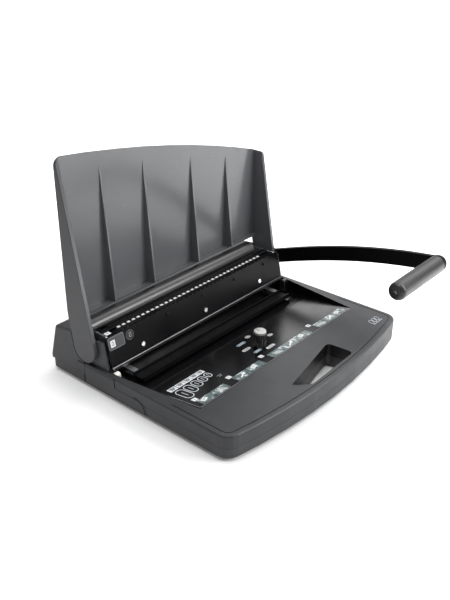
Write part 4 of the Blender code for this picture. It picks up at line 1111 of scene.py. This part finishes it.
# %% Plate and die labels
LABEL_X = -157.0
LABEL_Z = 67.0
RING_X = -134.6
SQUARE_PLACE = (-6.0, -0.6)  # where the label's white square and its digit stand
DIE_LABEL_X = -161.8
label_parts = [
    sheet_at(label_print, 0, 0, 0, 26.0, 17.0, 2.4, 0.15),
    outline_at(line_print, 0, 0, 0.15, 25.0, 16.0, 2.0, 0.35, 0.03),
    sheet_at(white_print, *SQUARE_PLACE, 0.15, 7.6, 9.0, 0.5, 0.1),
    digit_at("2", 5.2, *SQUARE_PLACE, 0.25),
]
seat(joined("plate_label", label_parts), on_plate(LABEL_X, LABEL_Z), plate_turn, "base_unit")
ring_parts = [
    outline_at(label_print, 0, 0, 0, 13.4, 13.4, 6.65, 0.9, 0.12),
    sheet_at(card_print, 0, 0, 0, 11.0, 11.0, 5.45, 0.1),
    outline_at(line_print, 0.4, 0, 0.1, 3.4, 6.4, 1.65, 0.7, 0.05),
]
seat(joined("plate_ring_mark", ring_parts), on_plate(RING_X, LABEL_Z), plate_turn, "base_unit")

die_low, die_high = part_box("die_bar")
die_place = Vector((at(DIE_LABEL_X, 0, 0).x, (die_low.y + die_high.y) / 2,
                    die_high.z + SKIN * MM))
die_parts = [sheet_at(white_print, 0, 0, 0, 8.0, 6.2, 0.5, 0.15), digit_at("1", 4.2, 0, 0, 0.15)]
seat(joined("die_label", die_parts), die_place, Matrix.Identity(3), "base_unit")
print("pieces: plate_label, plate_ring_mark, die_label")

# %% [markdown]
# ## A small mark on the deck
# The deck's front right corner carries a little pale mark. Here it is only three wire loops in a
# row, which says what the machine is for and belongs to no maker.

# %% Deck mark
MARK_X = 151.0
MARK_Y = -96.5
LOOP_STEP = 7.0
mark_place, mark_normal = on_deck(MARK_X, MARK_Y)
loops = [outline_at(ring_print, LOOP_STEP * (i - 1), 0, 0, 5.6, 9.6, 2.75, 0.5, turn=-0.35)
         for i in range(3)]
stroke = sheet_at(ring_print, 0.0, -6.4, 0, 22.0, 0.6, 0.2)
seat(joined("deck_loops_mark", [*loops, stroke]), mark_place + mark_normal * SKIN * MM,
     Vector((0, 0, 1)).rotation_difference(mark_normal).to_matrix(), "base_unit")
print("piece: deck_loops_mark")

# %% [markdown]
# ## Painted shade lines on the left side
# The drawer's front has a thumb scoop whose edge shows as a dark quarter circle of shade, and a
# catch sits in a short slot of the rear housing. Both are painted shade: thin black sheets that
# stand on the side face. A third lines the joint where the drawer's front steps up, painted shade
# in its gap.

# %% Left side painted shade lines
SIDE_TURN = Matrix(((0, 0, -1), (-1, 0, 0), (0, 1, 0)))
SCOOP_RADIUS = 19.0
SCOOP_CENTRE = (31.0, 4.5)
SCOOP_LINE = 1.7
side_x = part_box("drawer_front")[0].x - SKIN * MM


def on_side(y, z):
    """The point of the left side face at that machine y and height."""
    place = at(0.0, y, z)
    return Vector((side_x, place.y, place.z))


def side_shade_line(name, width, height, corner, y, z):
    """A thin black sheet of painted shade on the left side of the base."""
    shade_line = wear(make_sheet(name, width, height, corner, 0.1), arm_and_shade_black)
    return seat(shade_line, on_side(y, z), SIDE_TURN, "base_unit")


# The scoop's dark quarter circle is painted shade along the edge of the recess.
scoop = make_outline("drawer_scoop_shade", 2 * SCOOP_RADIUS, 2 * SCOOP_RADIUS, SCOOP_RADIUS - 0.05,
                     SCOOP_LINE, 0.1)
trim(scoop, (0, 1.5, 0), (0, -1, 0))
trim(scoop, (0, 0, 0), (-1, 0, 0))
seat(wear(scoop, arm_and_shade_black), on_side(*SCOOP_CENTRE), SIDE_TURN, "drawer_unit")
# The catch's slot and the drawer's step joint: painted shade in the gaps.
side_shade_line("catch_slot_shade", 12.0, 2.0, 0.9, 126.5, 33.0)
side_shade_line("step_joint_shade", 1.2, 14.5, 0.3, 65.4, 28.0)
print("pieces: drawer_scoop_shade, catch_slot_shade, step_joint_shade")

# %% [markdown]
# ## The dial's pointer
# A black line on the dial's cap shows which way the dial is turned. It rides on the dial, so it
# turns with it.

# %% Dial pointer
pointer = wear(make_sheet("dial_pointer", 0.9, (cap_high.y - cap_low.y) / MM * 0.42, 0.3, 0.1),
               ink_print)
pointer_place = Vector((cap_centre.x, cap_centre.y + (cap_high.y - cap_low.y) * 0.24,
                        cap_high.z + SKIN * MM))
seat(pointer, pointer_place, Matrix.Identity(3), "dial_unit")
print("piece: dial_pointer")

# %% [markdown]
# ## Screws under the base
# Four screws hold the base pan to the deck. Each is a short cylinder whose rim is bevelled and
# whose top is inset to a round socket and pushed in. Each is made anew for its own place.

# %% Base screws
SCREW_RADIUS = 3.4
SCREW_HEIGHT = 1.3
SCREW_PLACES = ((-128.0, -72.0), (128.0, -72.0), (-128.0, 66.0), (128.0, 66.0))


def make_screw():
    """A pan-head screw lying head up at the origin."""
    deselect()
    bpy.ops.mesh.primitive_cylinder_add(vertices=36, radius=SCREW_RADIUS * MM,
                                        depth=SCREW_HEIGHT * MM)
    screw = bpy.context.object
    bpy.ops.object.mode_set(mode="EDIT")
    top = SCREW_HEIGHT / 2
    select_where(lambda c: c.z > top - 0.01, "faces")
    bpy.ops.mesh.bevel(offset=0.5 * MM, segments=3)
    select_where(lambda c: c.z > top - 0.01 and abs(c.x) + abs(c.y) < 0.2, "faces")
    bpy.ops.mesh.inset(thickness=1.3 * MM)
    bpy.ops.mesh.extrude_region_move(TRANSFORM_OT_translate={"value": (0, 0, -0.8 * MM)})
    bpy.ops.mesh.select_all(action="SELECT")
    bpy.ops.mesh.normals_make_consistent(inside=False)
    bpy.ops.object.mode_set(mode="OBJECT")
    only(screw)
    bpy.ops.object.shade_smooth_by_angle(angle=math.radians(30))
    return wear(screw, zinc_finish)


pan_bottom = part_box("base_pan")[0].z
for index, (x, y) in enumerate(SCREW_PLACES, 1):
    screw = make_screw()
    screw.name = f"base_screw_{index}"
    screw.data.name = screw.name
    place = at(x, y, 0)
    place.z = pan_bottom - SCREW_HEIGHT / 2 * MM + 0.02 * MM
    seat(screw, place, Matrix.Rotation(math.pi, 3, "X"), "base_unit")
print("screws:", len(SCREW_PLACES))

# %% [markdown]
# ## Studio
# The stage is a plain pale floor that runs out of sight under an even pale sky. The camera sees
# both as white, as in a product shot cut out on white, while the machine gets only a weak light
# from that sky. The floor's extra glow is for the camera alone and fades near the machine, so the
# soft shadow stays.
#
# The real light comes from lamps: a big soft one overhead, a key at the front right for the
# cover's inside, and two at the right that the roll and the tray mirror. A spot makes a bright pool
# on the floor at the front right, which the cover mirrors.

# %% Floor
FLOOR_GLOW = 0.8
deselect()
bpy.ops.mesh.primitive_plane_add(size=40.0)
floor = bpy.context.object
floor.name = "studio_floor"
floor_finish, floor_tree, floor_shader = start_finish("studio_paper")
floor_place = object_place(floor_tree)
floor_tone = blend_colour(floor_tree, noise_on(floor_tree, floor_place, 3.0), (0.88, 0.88, 0.88),
                          (0.90, 0.90, 0.90))
feed(floor_tree, floor_shader.inputs["Base Color"], floor_tone)
floor_shader.inputs["Roughness"].default_value = 0.9
floor_seen = add_node(floor_tree, "ShaderNodeLightPath").outputs["Is Camera Ray"]
floor_reach = vector_maths(floor_tree, "LENGTH", floor_place)["Value"]
floor_far = spread(floor_tree, floor_reach, 0.15, 0.7)
floor_glow = blend_colour(floor_tree, maths(floor_tree, "MULTIPLY", floor_seen, floor_far),
                          (0.0, 0.0, 0.0), (1.0, 1.0, 1.0))
feed(floor_tree, floor_shader.inputs["Emission Color"], floor_glow)
floor_shader.inputs["Emission Strength"].default_value = FLOOR_GLOW
wear(floor, floor_finish)
print("floor laid")

# %% Sky and lamps
SKY_SEEN = 1.1
SKY_ON_THINGS = 0.4
sky = bpy.data.worlds.new("studio_sky")
sky.use_nodes = True
sky_seen = add_node(sky.node_tree, "ShaderNodeLightPath").outputs["Is Camera Ray"]
sky_inputs = sky.node_tree.nodes["Background"].inputs
feed(sky.node_tree, sky_inputs["Color"], (1.0, 1.0, 1.0, 1.0))
feed(sky.node_tree, sky_inputs["Strength"],
     maths(sky.node_tree, "MULTIPLY_ADD", sky_seen, SKY_SEEN - SKY_ON_THINGS, SKY_ON_THINGS))
bpy.context.scene.world = sky
bpy.context.scene.view_settings.view_transform = "Standard"


def hang(lamp, place, target):
    """Puts a lamp at a place, facing a point."""
    holder = bpy.data.objects.new(lamp.name, lamp)
    bpy.context.scene.collection.objects.link(holder)
    holder.location = place
    holder.rotation_euler = (Vector(target) - Vector(place)).to_track_quat("-Z", "Y").to_euler()
    return holder


def soft_lamp(name, place, target, size, power):
    """A square soft light that faces a point and that the camera doesn't see."""
    lamp = bpy.data.lights.new(name, "AREA")
    lamp.shape = "SQUARE"
    lamp.size = size
    lamp.energy = power
    hang(lamp, place, target).visible_camera = False


# Each lamp: name, place, what it faces, size in metres and power in watts.
LAMPS = (
    ("overhead", (-0.2, 0.1, 1.9), (0.0, 0.0, 0.1), 1.4, 22.0),
    ("right_sky", (1.5, -0.05, 1.5), (0.0, 0.1, 0.1), 1.2, 15.0),
    ("rear_right", (1.2, 1.0, 0.8), (0.1, 0.0, 0.05), 0.8, 4.0),
    ("front_key", (0.9, -1.5, 1.0), (0.0, 0.1, 0.15), 1.0, 26.0),
)
for lamp_values in LAMPS:
    soft_lamp(*lamp_values)

POOL_PLACE = (0.95, -0.9, 1.4)
POOL_MIDDLE = (0.62, -0.56, 0.0)
pool = bpy.data.lights.new("floor_pool", "SPOT")
pool.energy = 260.0
pool.spot_size = math.radians(50.0)
pool.spot_blend = 1.0
pool.shadow_soft_size = 0.15
hang(pool, POOL_PLACE, POOL_MIDDLE)
print("lamps:", len(LAMPS) + 1)

# %% [markdown]
# ## Last count
# The number of pieces added is printed.

# %% Pieces added
print("pieces added:", len(made_pieces))
